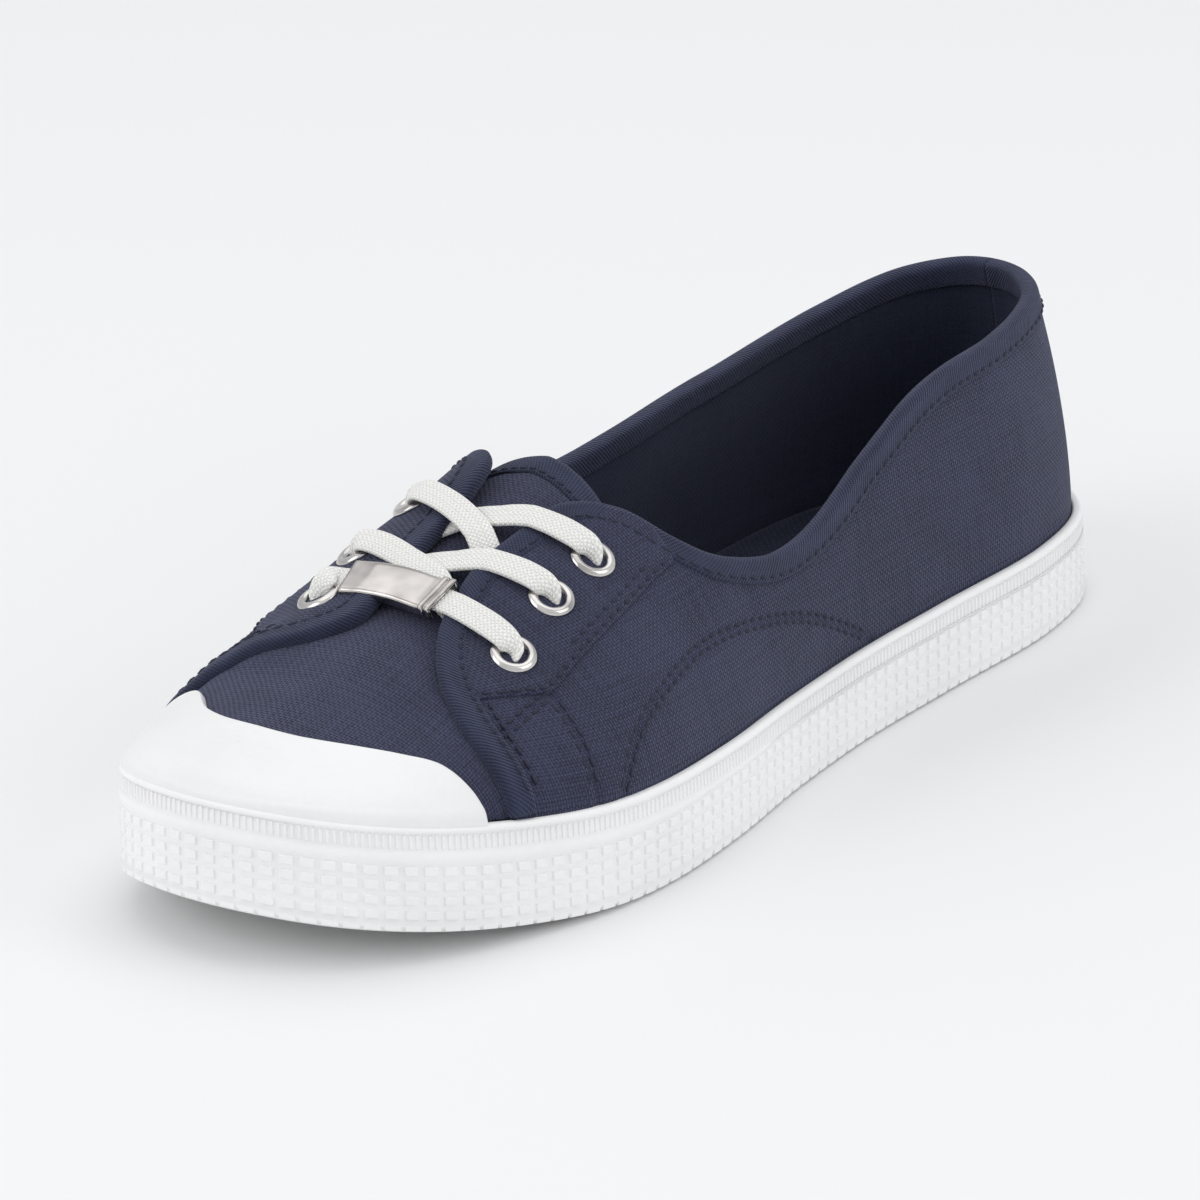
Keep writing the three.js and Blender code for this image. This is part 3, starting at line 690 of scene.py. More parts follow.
def elastic_paint(name):
    """Flat braided elastic: two crossing sets of yarn in small staggered cells, with painted shade between
    the cells.
    """
    p = Paint(name)
    uv, along, across = p.cloth_mm()
    cell = 0.92
    turn = 2 * math.pi / cell
    one = p.sine(p.times(p.add(along, across), turn / 2))
    two = p.sine(p.times(p.less(along, across), turn / 2))
    cells = p.size(p.times(one, two))
    ribs = p.size(p.sine(p.times(across, math.pi / 0.65)))
    height = p.add(cells, p.times(ribs, 0.3))
    fuzz = p.noise(p.stretch(uv, (2.5, 2.5, 1)), 1.0, 2)
    # The raised cells are painted near white and the dips between them grey, following the braid's height:
    # painted shade. The fuzz varies at random.
    tone = p.add(p.remap(height, 0.0, 0.8, 0.0, 0.85), p.remap(fuzz, 0.3, 0.7, -0.1, 0.15))
    p.set(Base_Color=p.blend(tone, (0.66, 0.65, 0.61, 1), (0.95, 0.945, 0.92, 1)))
    p.set(Roughness=0.85, Sheen_Weight=0.15, Sheen_Roughness=0.4, Specular_IOR_Level=0.25)
    p.bump(height, 0.16)
    return p.material


def steel_paint(name, shade, rough):
    """Polished plated metal with fine rubbing marks and a few duller patches."""
    p = Paint(name)
    mm = p.object_mm()
    marks = p.noise(p.stretch(mm, (0.6, 6, 6)), 1.0, 3)
    haze = p.remap(p.noise(mm, 0.13, 2), 0.36, 0.62, 0, 1)
    p.set(Base_Color=p.blend(haze, tuple(c * 0.62 for c in shade) + (1,), tuple(shade) + (1,)))
    p.set(Metallic=1.0, Roughness=p.remap(p.add(marks, haze), 0.7, 1.3, rough, rough + 0.12))
    p.bump(marks, 0.003)
    return p.material


NAVY_DARK = (0.010, 0.012, 0.025, 1)
NAVY_LIGHT = (0.045, 0.049, 0.096, 1)
canvas = weave_paint("navy_canvas", NAVY_DARK, NAVY_LIGHT, 0.62)
# A lighter copy of the same navy canvas for the vamp and tongue, which face up into more light: painted
# light.
lit_tongue_canvas = weave_paint("navy_canvas_vamp_lit", NAVY_DARK, (0.053, 0.057, 0.108, 1), 0.62)
tape = tape_paint("navy_twill_tape", (0.013, 0.016, 0.035, 1), (0.042, 0.050, 0.100, 1), 0.75)
INNER_DARK = (0.010, 0.013, 0.028, 1)
lining = weave_paint("navy_lining", INNER_DARK, (0.034, 0.041, 0.075, 1), 0.5, 0.3, 0.08, 0.15)
footbed = weave_paint("navy_footbed", INNER_DARK, (0.036, 0.043, 0.078, 1), 0.8, 0.3, 0.12, 0.15)
thread = thread_paint("navy_thread", (0.010, 0.012, 0.026, 1), (0.034, 0.038, 0.070, 1))
rubber = rubber_paint("white_rubber")
# A darker copy of the white rubber for the toe cap, whose top takes the most light: painted shade.
shaded_cap_rubber = rubber_paint("white_rubber_cap_shaded", 0.84, 0.38)
elastic = elastic_paint("white_elastic")
steel = steel_paint("polished_steel", (0.64, 0.605, 0.58), 0.10)
ring_steel = steel_paint("eyelet_steel", (0.68, 0.66, 0.64), 0.07)

# ------------------------------------------------------------------ the edge of each quarter


def quarter_edge(side):
    stations = [0.0, 1.5, 4, 8, 14, 22, 32, 44, 56, 68, 80, 92, 104, 114, 124, 134, 142]
    angles = angle_of(stations)
    shares = share_at_height(angles, side, collar_height[side](angles))
    return list(zip(stations, shares)) + THROAT_EDGE[side]


edges = {side: Seam(side, quarter_edge(side), inward=side, count=900) for side in (LATERAL, MEDIAL)}


def proud(angle):
    """How far the quarter's outer face stands off the last: more where it laps over the vamp."""
    return 0.1 + 0.95 * smoothstep(150, 206, station_at(angle))


# ------------------------------------------------------------------ creases

# Soft creases in the canvas: side, from and to as station and share, half width and depth in
# millimetres. A ridge has a negative depth.
CREASES = [
    (MEDIAL, (214, 0.52), (204, 0.80), 5.0, -1.2),
    (MEDIAL, (210, 0.40), (199, 0.62), 4.0, 0.5),
    (LATERAL, (200, 0.70), (206, 0.50), 4.0, -0.3),
    (LATERAL, (160, 0.44), (138, 0.34), 6.0, 0.45),
    (LATERAL, (132, 0.30), (112, 0.22), 7.0, 0.35),
    (LATERAL, (150, 0.16), (172, 0.13), 5.0, 0.30),
    (LATERAL, (92, 0.26), (70, 0.16), 8.0, 0.40),
    (LATERAL, (60, 0.34), (44, 0.20), 8.0, -0.35),
    (MEDIAL, (165, 0.40), (140, 0.28), 6.0, 0.45),
    (MEDIAL, (125, 0.30), (104, 0.18), 7.0, 0.40),
    (MEDIAL, (92, 0.28), (66, 0.18), 8.0, 0.35),
    (LATERAL, (24, 0.30), (20, 0.12), 7.0, 0.30), (MEDIAL, (24, 0.30), (20, 0.12), 7.0, 0.30),
    (LATERAL, (224, 0.72), (214, 0.62), 5.0, 0.25),
    (MEDIAL, (222, 0.80), (212, 0.86), 6.0, 0.30),
]


def crease_lift(side, points):
    lift = np.zeros(len(points))
    for where, start, end, half, depth in CREASES:
        if where != side:
            continue
        a = last_surface(angle_of(start[0]), side, start[1])
        b = last_surface(angle_of(end[0]), side, end[1])
        run = b - a
        t = np.clip(((points - a) @ run) / (run @ run), 0, 1)
        bow = a + t[:, None] * run
        away = np.linalg.norm(points - bow, axis=1)
        fade = 0.35 + 0.65 * np.sin(math.pi * np.clip(t, 0.1, 0.9))
        lift -= depth * np.exp(-((away / half) ** 2)) * fade
    return lift


def cloth_lift(side, angle, points):
    """How far the quarter's outer face stands off the last, with its creases and its loose corner."""
    lift = proud(angle) + crease_lift(side, points.reshape(-1, 3)).reshape(points.shape[:-1])
    return lift + flap_lift(points) if side == MEDIAL else lift


def stitch_hollow(points, seams, half=0.9, depth=0.28):
    """Stitching draws the cloth down along each seam."""
    lift = np.zeros(len(points))
    for seam in seams:
        low = seam.points.min(0) - 3
        high = seam.points.max(0) + 3
        near = np.nonzero(((points > low) & (points < high)).all(1))[0]
        for chunk in np.array_split(near, max(1, len(near) // 4000)):
            if not len(chunk):
                continue
            gap = np.linalg.norm(points[chunk, None, :] - seam.points[None, ::3, :], axis=2).min(1)
            lift[chunk] -= depth * np.exp(-((gap / half) ** 2))
    return lift


# ------------------------------------------------------------------ quarters

stay_seams = {side: Seam(side, STAY_SEAM, inward=-side) for side in (LATERAL, MEDIAL)}
side_seams = {
    side: [Seam(side, line, inward=side) for line in (CORNER_SEAM, BALL_SEAM, SADDLE_SEAM)]
    for side in (LATERAL, MEDIAL)
}


def cloth_run(side):
    """Distance around the shoe at the quarter's middle height, for the cloth map."""
    angles = np.linspace(0, math.pi, 600)
    middle = last_surface(angles, side, 0.3)
    run = distance_along(middle)
    return lambda angle: np.interp(angle, angles, run)


def section_run(angle, side, share):
    """Distance up the section from the rim to each share."""
    steps = np.linspace(0, 1, 13)
    run = np.zeros_like(share)
    before = last_surface(angle, side, 0 * share)
    for step in steps[1:]:
        here = last_surface(angle, side, share * step)
        run += np.linalg.norm(here - before, axis=-1)
        before = here
    return run


def make_quarter(name, side, columns=420, rows=64):
    edge = edges[side]
    bm, flat = flat_sheet(columns, rows)
    mm = flat[:, 0] * edge.length
    angle = np.interp(mm, edge.mm, edge.angle)
    share = np.interp(mm, edge.mm, edge.share) * flat[:, 1]
    points, normal, _, _ = last_frame(angle, side, share)
    lift = cloth_lift(side, angle, points) + stitch_hollow(points, side_seams[side])
    cloth = np.stack([cloth_run(side)(angle), section_run(angle, side, share)], -1)
    low = 1.2 * (1 - np.clip(flat[:, 1] * 20, 0, 1))
    places = points + normal * lift[:, None] - np.array([0, 0, 1.0]) * low[:, None]
    move_points(bm, places, cloth, normal)
    thicken(bm, 1.15)
    return add_piece(name, bm, canvas)


def flap_lift(points):
    """The medial facing's back corner stands up off the tongue."""
    u = station_of(points[..., 1])
    across = points[..., 0] + 3.5
    near_edge = smoothstep(-20, -5, across)
    return 2.6 * near_edge * smoothstep(176, 158, u) * smoothstep(140, 152, u)


def make_stay(name, side, columns=170, rows=30):
    """The reinforcement around the eyelets, laid over the quarter."""
    seam = stay_seams[side]
    edge = edges[side]
    bm, flat = flat_sheet(columns, rows)
    start, end = float(angle_of(150.3)), float(angle_of(209.4))
    angle = start + (end - start) * flat[:, 0]
    low = np.interp(angle, seam.angle, seam.share)
    high = np.interp(angle, edge.angle, edge.share) - 0.012
    share = low + (high - low) * flat[:, 1]
    points, normal, _, _ = last_frame(angle, side, share)
    lift = cloth_lift(side, angle, points) + STAY_THICKNESS + stitch_hollow(points, [seam], 1.0, 0.2)
    cloth = np.stack([cloth_run(side)(angle) + 0.3, section_run(angle, side, share) + 0.2], -1)
    move_points(bm, points + normal * lift[:, None], cloth, normal)
    thicken(bm, 0.6)
    return add_piece(name, bm, canvas)


# ------------------------------------------------------------------ vamp and tongue

TONGUE_TOP = 151.5


def vamp_surface(along, across):
    """The vamp and tongue as one sheet: along from 0 at the tongue's top to 1 under the toe cap,
    across from -1 at the medial edge to 1 at the lateral one."""
    top = angle_of(TONGUE_TOP + 6.5 * np.abs(across) ** 2.2)
    angle = top + (math.pi - top) * along
    places = np.zeros((len(along), 3))
    outward = np.zeros((len(along), 3))
    cloth = np.zeros((len(along), 2))
    for side in (LATERAL, MEDIAL):
        mine = on_side(across, side)
        a = angle[mine]
        u = station_at(a)
        edge = edges[side]
        tucked = np.interp(a, edge.angle, edge.share) - 0.16
        low = np.where(a > edge.angle[-1], 0, np.clip(tucked, 0, 1))
        low = low * smoothstep(214, 196, u)
        share = low + (1 - low) * (1 - np.abs(across[mine]))
        points, normal, _, _ = last_frame(a, side, share)
        lift = 0.05 - 2.5 * smoothstep(213, 190, u) + crease_lift(side, points) * smoothstep(190, 205, u)
        lift -= 0.9 * smoothstep(160, 151, u) * (1 - share) * 4
        places[mine] = points + normal * lift[:, None]
        outward[mine] = normal
        ridge = section_run(a, side, np.ones_like(a))
        cloth[mine] = np.stack([side * (ridge - section_run(a, side, share)), points[:, 1]], -1)
    return places, outward, cloth


def make_vamp(columns=210, rows=130):
    bm, flat = flat_sheet(columns, rows)
    places, outward, cloth = vamp_surface(flat[:, 0], 2 * flat[:, 1] - 1)
    move_points(bm, places, cloth, outward)
    thicken(bm, 1.1, 0.02)
    # The vamp and tongue wear the lighter copy of the canvas: painted light.
    piece = add_piece("vamp_and_tongue", bm, lit_tongue_canvas)
    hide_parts("tongue")
    return piece


class TongueTop:
    """The tongue's top edge as a line: millimetres along it, down the tongue, and off its face."""

    def __init__(self):
        across = np.linspace(-0.97, 0.97, 300)
        self.point, self.out, _ = vamp_surface(np.zeros(300), across)
        below, _, _ = vamp_surface(np.full(300, 0.012), across)
        self.down = below - self.point
        self.down = unit(self.down)
        self.mm = distance_along(self.point)
        self.length = self.mm[-1]

    def place(self, mm, down, lift):
        point, out, way = (
            along_line(mm, self.mm, line)
            for line in (self.point, self.out, self.down)
        )
        return point + way * down[:, None] + out * lift[:, None]


def make_tongue_trim():
    """A tape folded over the tongue's top edge, and the stitches that hold it."""
    edge = TongueTop()
    ring = smooth_ring([
        (5.0, 0.12), (4.8, 0.36), (2.6, 0.45), (0.6, 0.45), (-0.2, 0.3), (-0.6, -0.2), (-0.6, -0.9),
        (-0.2, -1.4), (0.6, -1.6), (2.6, -1.6), (4.8, -1.5), (5.0, -1.1), (2.5, -0.55),
    ], 32)
    bm, flat = flat_sheet(90, 32)
    index = np.rint(flat[:, 1] * 32).astype(int) % 32
    mm = edge.length * flat[:, 0]
    places = edge.place(mm, ring[index, 0], ring[index, 1])
    move_points(bm, places, np.stack([mm, flat[:, 1] * 14], -1))
    close_tube(bm)
    add_piece("tongue_binding", bm, tape)
    bm = stitches(edge.length - 2)
    flat = points_of(bm)
    move_points(bm, edge.place(1 + flat[:, 0], 4.0 + flat[:, 1], 0.45 + flat[:, 2]))
    face_out(bm)
    add_piece("tongue_stitching", bm, thread)


# ------------------------------------------------------------------ bindings


def tape_round_edge(name, edge, start, end, lift_at, thickness=2.3, width=TAPE_WIDTH, steps=None):
    """A tape folded over an edge and laid flat on both faces."""
    steps = steps or int((end - start) / 0.9)
    around = [
        (width, 0.28), (width - 0.2, 0.48), (width * 0.6, 0.50), (0.9, 0.55), (0.2, 0.45), (-0.35, 0.1),
        (-0.62, -0.5), (-0.68, -thickness * 0.5), (-0.55, -thickness + 0.2), (-0.2, -thickness - 0.35),
        (0.5, -thickness - 0.6), (width * 0.6, -thickness - 0.6), (width, -thickness - 0.5),
        (width + 0.1, -thickness - 0.1), (width * 0.5, -thickness * 0.55), (width + 0.1, -0.2),
    ]
    profile = smooth_ring(around, 40)
    bm, flat = flat_sheet(steps, 40)
    mm = start + (end - start) * flat[:, 0]
    turn = (flat[:, 1] * 40) % 40
    across = np.interp(turn, np.arange(41), profile[:, 0])
    lift = np.interp(turn, np.arange(41), profile[:, 1]) + lift_at(mm)
    run = distance_along(profile)
    cloth = np.stack([mm, np.interp(flat[:, 1] * 40, np.arange(41), run)], -1)
    places = edge.place(mm, across, lift)
    move_points(bm, places, cloth)
    close_tube(bm)
    return add_piece(name, bm, tape)


def smooth_ring(points, count):
    """A closed profile resampled evenly, its last row the same as its first."""
    points = np.asarray(points + points[:1], float)
    run = distance_along(points)
    even = np.linspace(0, run[-1], count + 1)
    return along_line(even, run, points)


def edge_lift(side):
    edge = edges[side]

    def lift(mm):
        angle = np.interp(mm, edge.mm, edge.angle)
        share = np.interp(mm, edge.mm, edge.share)
        points = last_surface(angle, side, share)
        return cloth_lift(side, angle, points) + 0.35 * smoothstep(152, 160, station_of(points[..., 1]))

    return lift


# ------------------------------------------------------------------ stitching


def stitches(length, pitch=STITCH_PITCH, width=0.36):
    """A straight row of stitches, each a short swollen thread that dives at both ends."""
    bm = bmesh.new()
    stitch = Matrix.Translation((pitch / 2, 0, 0)) @ Matrix.Diagonal((pitch * 0.42, width, 0.30, 1))
    bmesh.ops.create_icosphere(bm, subdivisions=1, radius=1, matrix=stitch)
    repeat_along(bm, pitch, max(1, int(length / pitch)))
    return bm


def stitch_row(seam, across, start, end, lift):
    """Stitches laid along a seam of the last."""
    bm = stitches(end - start)
    flat = points_of(bm)
    lift_here = lift(start + flat[:, 0]) if callable(lift) else lift
    places = seam.place(start + flat[:, 0], across + flat[:, 1], lift_here + flat[:, 2] + 0.02)
    move_points(bm, places)
    face_out(bm)
    return bm


def quarter_lift(seam, extra=0.0):
    def lift(mm):
        angle = np.interp(mm, seam.mm, seam.angle)
        points = along_line(mm, seam.mm, seam.points)
        return cloth_lift(seam.side, angle, points) + extra

    return lift


def make_stitching(side, name):
    whole = bmesh.new()
    edge = edges[side]
    on_edge = edge_lift(side)
    merge_into(whole, stitch_row(edge, TAPE_WIDTH - 0.9, 2, edge.length - 2, lambda mm: on_edge(mm) + 0.5))
    front = float(np.interp(angle_of(198), edge.angle, edge.mm))
    merge_into(whole, stitch_row(edge, TAPE_WIDTH + 1.4, front, edge.length - 2, on_edge))
    stay = stay_seams[side]
    merge_into(whole, stitch_row(stay, 0.9, 1, stay.length - 2, quarter_lift(stay, 0.5)))
    merge_into(whole, stitch_row(stay, 2.7, 6, 34, quarter_lift(stay, 0.55)))
    for seam in side_seams[side]:
        for across in (-0.85, 0.85):
            merge_into(whole, stitch_row(seam, across, 1, seam.length - 1, quarter_lift(seam, -0.12)))
    return add_piece(name, whole, thread)


# ------------------------------------------------------------------ lining and footbed


def make_lining(name, side, columns=200, rows=40):
    edge = edges[side]
    bm, flat = flat_sheet(columns, rows)
    angle = flat[:, 0] * math.pi
    u = station_at(angle)
    top = np.interp(angle, edge.angle, edge.share)
    top = top - 0.16 * smoothstep(154, 164, u)
    top = np.minimum(top, 1 - 0.42 * smoothstep(186, 206, u))
    skirt = 0.22
    share = top * np.clip((flat[:, 1] - skirt) / (1 - skirt), 0, 1)
    points, normal, _, _ = last_frame(angle, side, share)
    lift = -1.55 + np.where(u < 200, crease_lift(side, points) * 0.8 + proud(angle) * 0.9, 0)
    if side == MEDIAL:
        lift = lift + flap_lift(points)
    lift = np.where(flat[:, 1] <= skirt, -1.7, lift)
    places = points + normal * lift[:, None]
    foot, _ = outline(angle, side, FEATHER_INSET + 1.7)
    low = spring(station_of(foot[:, 1])) + FLOOR_THICKNESS + 0.4
    down = np.clip(flat[:, 1] / skirt, 0, 1)
    rim = rim_height(station_of(foot[:, 1]))
    below = np.stack([foot[:, 0], foot[:, 1], low + (rim - low) * down], -1)
    places = np.where((flat[:, 1] < skirt - 1e-6)[:, None], below, places)
    cloth = np.stack([cloth_run(side)(angle), places[:, 2] * 1.05], -1)
    move_points(bm, places, cloth, normal)
    thicken(bm, 0.55)
    return add_piece(name, bm, lining)


def make_footbed(columns=150, rows=40):
    bm, flat = flat_sheet(columns, rows)
    across = 2 * flat[:, 1] - 1
    angle = 0.02 + flat[:, 0] * (math.pi - 0.04)
    lateral, _ = outline(angle, LATERAL, FEATHER_INSET + 2.6)
    medial, _ = outline(angle, MEDIAL, FEATHER_INSET + 2.6)
    t = ((across + 1) / 2)[:, None]
    level = medial + (lateral - medial) * t
    dish = 0.9 * np.abs(across) ** 3 * smoothstep(0, 30, station_of(level[:, 1]))
    height = spring(station_of(level[:, 1])) + FLOOR_THICKNESS + 3.6 + dish
    places = np.stack([level[:, 0], level[:, 1], height], -1)
    move_points(bm, places, places[:, :2], (0, 0, 1))
    thicken(bm, 2.6)
    piece = add_piece("footbed", bm, footbed)
    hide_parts("insole")
    return piece


# ------------------------------------------------------------------ cupsole


def ring_point(angle, side, inset, base, rise):
    level, _ = outline(angle, side, inset)
    return np.stack([level[..., 0], level[..., 1], base(station_of(level[..., 1])) + rise], -1)


def make_cupsole(columns=260):
    """The wall from the tread's border over the rim to the foot bed, one side at a time."""
    # Inset from the outline, 1 for a point on the middle line, then the height: from what, and how far.
    wall = [
        (10.6, 1, spring, 1.1), (10.6, 0, spring, 1.1), (10.3, 0, spring, 1.05), (9.9, 0, spring, 0.12),
        (9.6, 0, spring, 0), (7.0, 0, spring, 0), (6.8, 0, spring, 0.35), (6.5, 0, spring, 0.35),
        (6.3, 0, spring, 0), (2.4, 0, spring, 0), (1.6, 0, spring, 0.1), (0.9, 0, spring, 0.4),
        (0.35, 0, spring, 1.0), (0.1, 0, spring, 1.7), (0.55, 0, spring, 2.0), (0.6, 0, spring, 4.6),
        (0.6, 0, spring, 12.6), (0.35, 0, spring, 13.0), (0.4, 0, rim_height, -4.6),
        (0.75, 0, rim_height, -4.3), (0.85, 0, rim_height, -1.5), (0.45, 0, rim_height, -1.2),
        (0.6, 0, rim_height, -0.5), (0.95, 0, rim_height, -0.12), (1.3, 0, rim_height, 0),
        (2.1, 0, rim_height, 0), (2.45, 0, rim_height, -0.2), (2.5, 0, rim_height, -1.0),
        (2.5, 0, spring, FLOOR_THICKNESS), (8, 0, spring, FLOOR_THICKNESS),
        (8, 1, spring, FLOOR_THICKNESS),
    ]
    whole = bmesh.new()
    for side in (LATERAL, MEDIAL):
        bm, flat = flat_sheet(columns, len(wall) - 1)
        angle = flat[:, 0] * math.pi
        row = np.rint(flat[:, 1] * (len(wall) - 1)).astype(int)
        places = np.zeros((len(flat), 3))
        for index, (inset, middle, base, rise) in enumerate(wall):
            mine = row == index
            here = ring_point(angle[mine], side, inset, base, rise)
            if middle:
                here = (here + ring_point(angle[mine], -side, inset, base, rise)) / 2
            places[mine] = here
        move_points(bm, places)
        merge_into(whole, bm)
    bmesh.ops.remove_doubles(whole, verts=whole.verts, dist=0.01)
    face_out(whole)
    piece = add_piece("cupsole_shell", whole, rubber)
    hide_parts("cupsole")
    return piece


class Foxing:
    """The sidewall as a flat strip: millimetres around the sole from the heel, height and depth."""

    def __init__(self):
        angles = np.linspace(0, math.pi, 1500)
        lateral = outline(angles, LATERAL)
        medial = outline(angles, MEDIAL)
        level = np.concatenate([lateral[0], medial[0][::-1][1:]])
        out = np.concatenate([lateral[1], medial[1][::-1][1:]])
        run = distance_along(level)
        self.length = run[-1]
        self.run = run
        self.level = level
        self.out = out

    def place(self, mm, out, height, from_rim):
        mm = mm % self.length
        level = along_line(mm, self.run, self.level)
        way = along_line(mm, self.run, self.out)
        way = unit(way)
        u = station_of(level[:, 1])
        base = np.where(from_rim, rim_height(u), spring(u))
        level = level + way * out[:, None]
        return np.stack([level[:, 0], level[:, 1], base + height], -1)


def make_sidewall_relief():
    """Fine upright ribs under the lip, a band of shallow blocks, and rows of small square studs."""
    foxing = Foxing()
    whole = bmesh.new()

    def band(count, width, height, low, depth, base, from_rim, bevel, shift=0.0):
        pitch = foxing.length / count
        bm = bmesh.new()
        bmesh.ops.create_cube(bm, size=1)
        bmesh.ops.scale(bm, verts=bm.verts, vec=(pitch * width, depth * 2, height))
        outer = [f for f in bm.faces if f.normal.y < -0.5]
        tall = 1 - (1 - bevel) * pitch * width / height
        bmesh.ops.scale(bm, verts=[v for f in outer for v in f.verts], vec=(bevel, 1, tall))
        buried = [f for f in bm.faces if f.normal.y > 0.5]
        bmesh.ops.delete(bm, geom=buried, context="FACES_ONLY")
        bmesh.ops.translate(bm, verts=bm.verts, vec=(pitch * (0.5 + shift), 0, low + height / 2))
        repeat_along(bm, pitch, count)
        flat = points_of(bm)
        places = foxing.place(flat[:, 0], -flat[:, 1] + base, flat[:, 2], from_rim)
        move_points(bm, places)
        merge_into(whole, bm)

    band(480, 0.62, 2.75, -4.3, 0.34, -0.86, True, 0.45)
    for row in range(4):
        band(160, 0.80, 2.0, 2.35 + row * 2.68, 0.42, -0.62, False, 0.78, 0.0)
    band(160, 0.86, 1.3, 0.45, 0.22, -0.32, False, 0.9, 0.0)
    face_out(whole)
    return add_piece("sidewall_relief", whole, rubber, smooth=False)


def make_tread():
    """Zigzag bars across the sole, inside its smooth border."""
    whole = bmesh.new()
    period, pitch, swing = 6.5, 2.62, 1.55
    for u in np.arange(13.5, 240, pitch):
        angle = float(angle_of(u))
        reach = []
        for side in (LATERAL, MEDIAL):
            level, _ = outline(np.array([angle - 0.06, angle, angle + 0.06]), side, 11.2)
            inner = min(level[:, 0] * side)
            if side == MEDIAL:
                inner -= 8.5 * float(np.exp(-(((u - 108) / 26) ** 2)))
            reach.append(inner)
        low, high = -reach[1], reach[0]
        if high - low < 5:
            continue
        count = int((high - low) / (period / 2))
        bm = bmesh.new()
        bmesh.ops.create_grid(bm, x_segments=count * 3, y_segments=3, size=1)
        flat = points_of(bm)
        x = low + (high - low) * (flat[:, 0] + 1) / 2
        wave = np.abs(((x / period) % 1) * 2 - 1) * 2 - 1
        wave = np.clip(wave * 1.25, -0.92, 0.92)
        row = np.rint((flat[:, 1] + 1) * 1.5).astype(int)
        spread = np.array([-0.95, -0.62, 0.62, 0.95])[row]
        drop = np.array([1.1, 0.05, 0.05, 1.1])[row]
        y = LENGTH / 2 - u + wave * swing + spread
        z = spring(station_of(y)) + drop
        move_points(bm, np.stack([x, y, z], -1))
        for face in bm.faces:
            face.normal_update()
        merge_into(whole, bm)
    keep_out_recess(whole)
    for face in whole.faces:
        if face.normal.z > 0:
            face.normal_flip()
    return add_piece("tread", whole, rubber, smooth=False)


# The blank rings under the sole: x, station, radius, and the radius kept clear of the tread.
MOULDED_RINGS = [(1, 77, 2.6, 3.2), (0, 194, 2.6, 3.2), (-19, 168, 5.2, 6)]


def keep_out_recess(bm):
    """Clears the bars from the blank panel and the moulding rings."""
    gone = []
    for face in bm.faces:
        centre = face.calc_center_median()
        u = station_of(centre.y)
        if abs(centre.x - 2) < 7.6 and abs(u - 111) < 11:
            gone.append(face)
        for x, where, _, clear in MOULDED_RINGS:
            if (centre.x - x) ** 2 + (u - where) ** 2 < clear**2:
                gone.append(face)
    bmesh.ops.delete(bm, geom=list(set(gone)), context="FACES")


def make_sole_marks():
    """Moulded rings and the frame of the blank panel under the sole."""
    whole = bmesh.new()
    for x, u, radius, _ in MOULDED_RINGS:
        bm = bmesh.new()
        rise = float(spring(u))
        section = [(radius - 0.45, 1.12), (radius - 0.3, 0.15), (radius + 0.3, 0.15), (radius + 0.45, 1.12)]
        verts = [bm.verts.new((x + r, LENGTH / 2 - u, rise + z)) for r, z in section]
        geom = verts + [bm.edges.new((a, b)) for a, b in zip(verts, verts[1:])]
        bmesh.ops.spin(
            bm, geom=geom, cent=(x, LENGTH / 2 - u, 0), axis=(0, 0, 1), angle=2 * math.pi, steps=32,
            use_merge=True, use_duplicate=False,
        )
        merge_into(whole, bm)
    bm = bmesh.new()
    bmesh.ops.create_grid(bm, x_segments=1, y_segments=1, size=1)
    bmesh.ops.scale(bm, verts=bm.verts, vec=(6.9, 10.2, 1))
    bmesh.ops.translate(bm, verts=bm.verts, vec=(2, LENGTH / 2 - 111, 1.12))
    rim = bmesh.ops.inset_region(bm, faces=bm.faces[:], thickness=0.5, depth=0)["faces"]
    bmesh.ops.translate(bm, verts=list({v for f in rim for v in f.verts}), vec=(0, 0, -0.75))
    merge_into(whole, bm)
    face_out(whole)
    for face in whole.faces:
        if face.normal.z > 0.5:
            face.normal_flip()
    return add_piece("sole_marks", whole, rubber, smooth=False)


# ------------------------------------------------------------------ toe cap


def cap_station(x):
    rows = np.array(CAP_EDGE, float)
    fine = smooth_line(rows, 200)
    return np.interp(x, fine[:, 0], fine[:, 1])


def make_toe_cap(columns=70, rows=110):
    """One moulded sheet from rim to rim over the toes, thinned to a rolled edge at the back."""
    bm, flat = flat_sheet(columns, rows)
    across = 2 * flat[:, 1] - 1
    places = np.zeros((len(flat), 3))
    outward = np.zeros((len(flat), 3))
    for side in (LATERAL, MEDIAL):
        mine = on_side(across, side)
        share = 0.02 + 0.98 * (1 - np.abs(across[mine]))
        low = np.full(len(share), float(angle_of(200)))
        high = np.full(len(share), math.pi)
        for _ in range(26):
            middle = (low + high) / 2
            point = last_surface(middle, side, share)
            behind = station_of(point[:, 1]) < cap_station(point[:, 0])
            low = np.where(behind, middle, low)
            high = np.where(behind, high, middle)
        back = (low + high) / 2
        angle = back + (math.pi - back) * flat[mine, 0] ** 1.4
        points, normal, _, _ = last_frame(angle, side, share)
        start = last_surface(back, side, share)
        away = np.linalg.norm(points - start, axis=1)
        roll = np.sqrt(np.clip(1 - (1 - np.clip(away / 0.9, 0, 1)) ** 2, 0, 1))
        lift = 0.15 + 1.5 * roll + 0.5 * smoothstep(0.14, 0.03, share)
        sink = 1.4 * np.clip(1 - (1 - np.abs(across[mine])) * 16, 0, 1)
        places[mine] = points + normal * lift[:, None] - np.array([0, 0, 1.0]) * sink[:, None]
        outward[mine] = normal
    move_points(bm, places, None, outward)
    thicken(bm, 1.2, 0.02)
    # The cap wears the darker copy of the white rubber: painted shade on its lit top.
    piece = add_piece("toe_cap_shell", bm, shaded_cap_rubber)
    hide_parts("toe_cap")
    return piece


# ------------------------------------------------------------------ eyelets


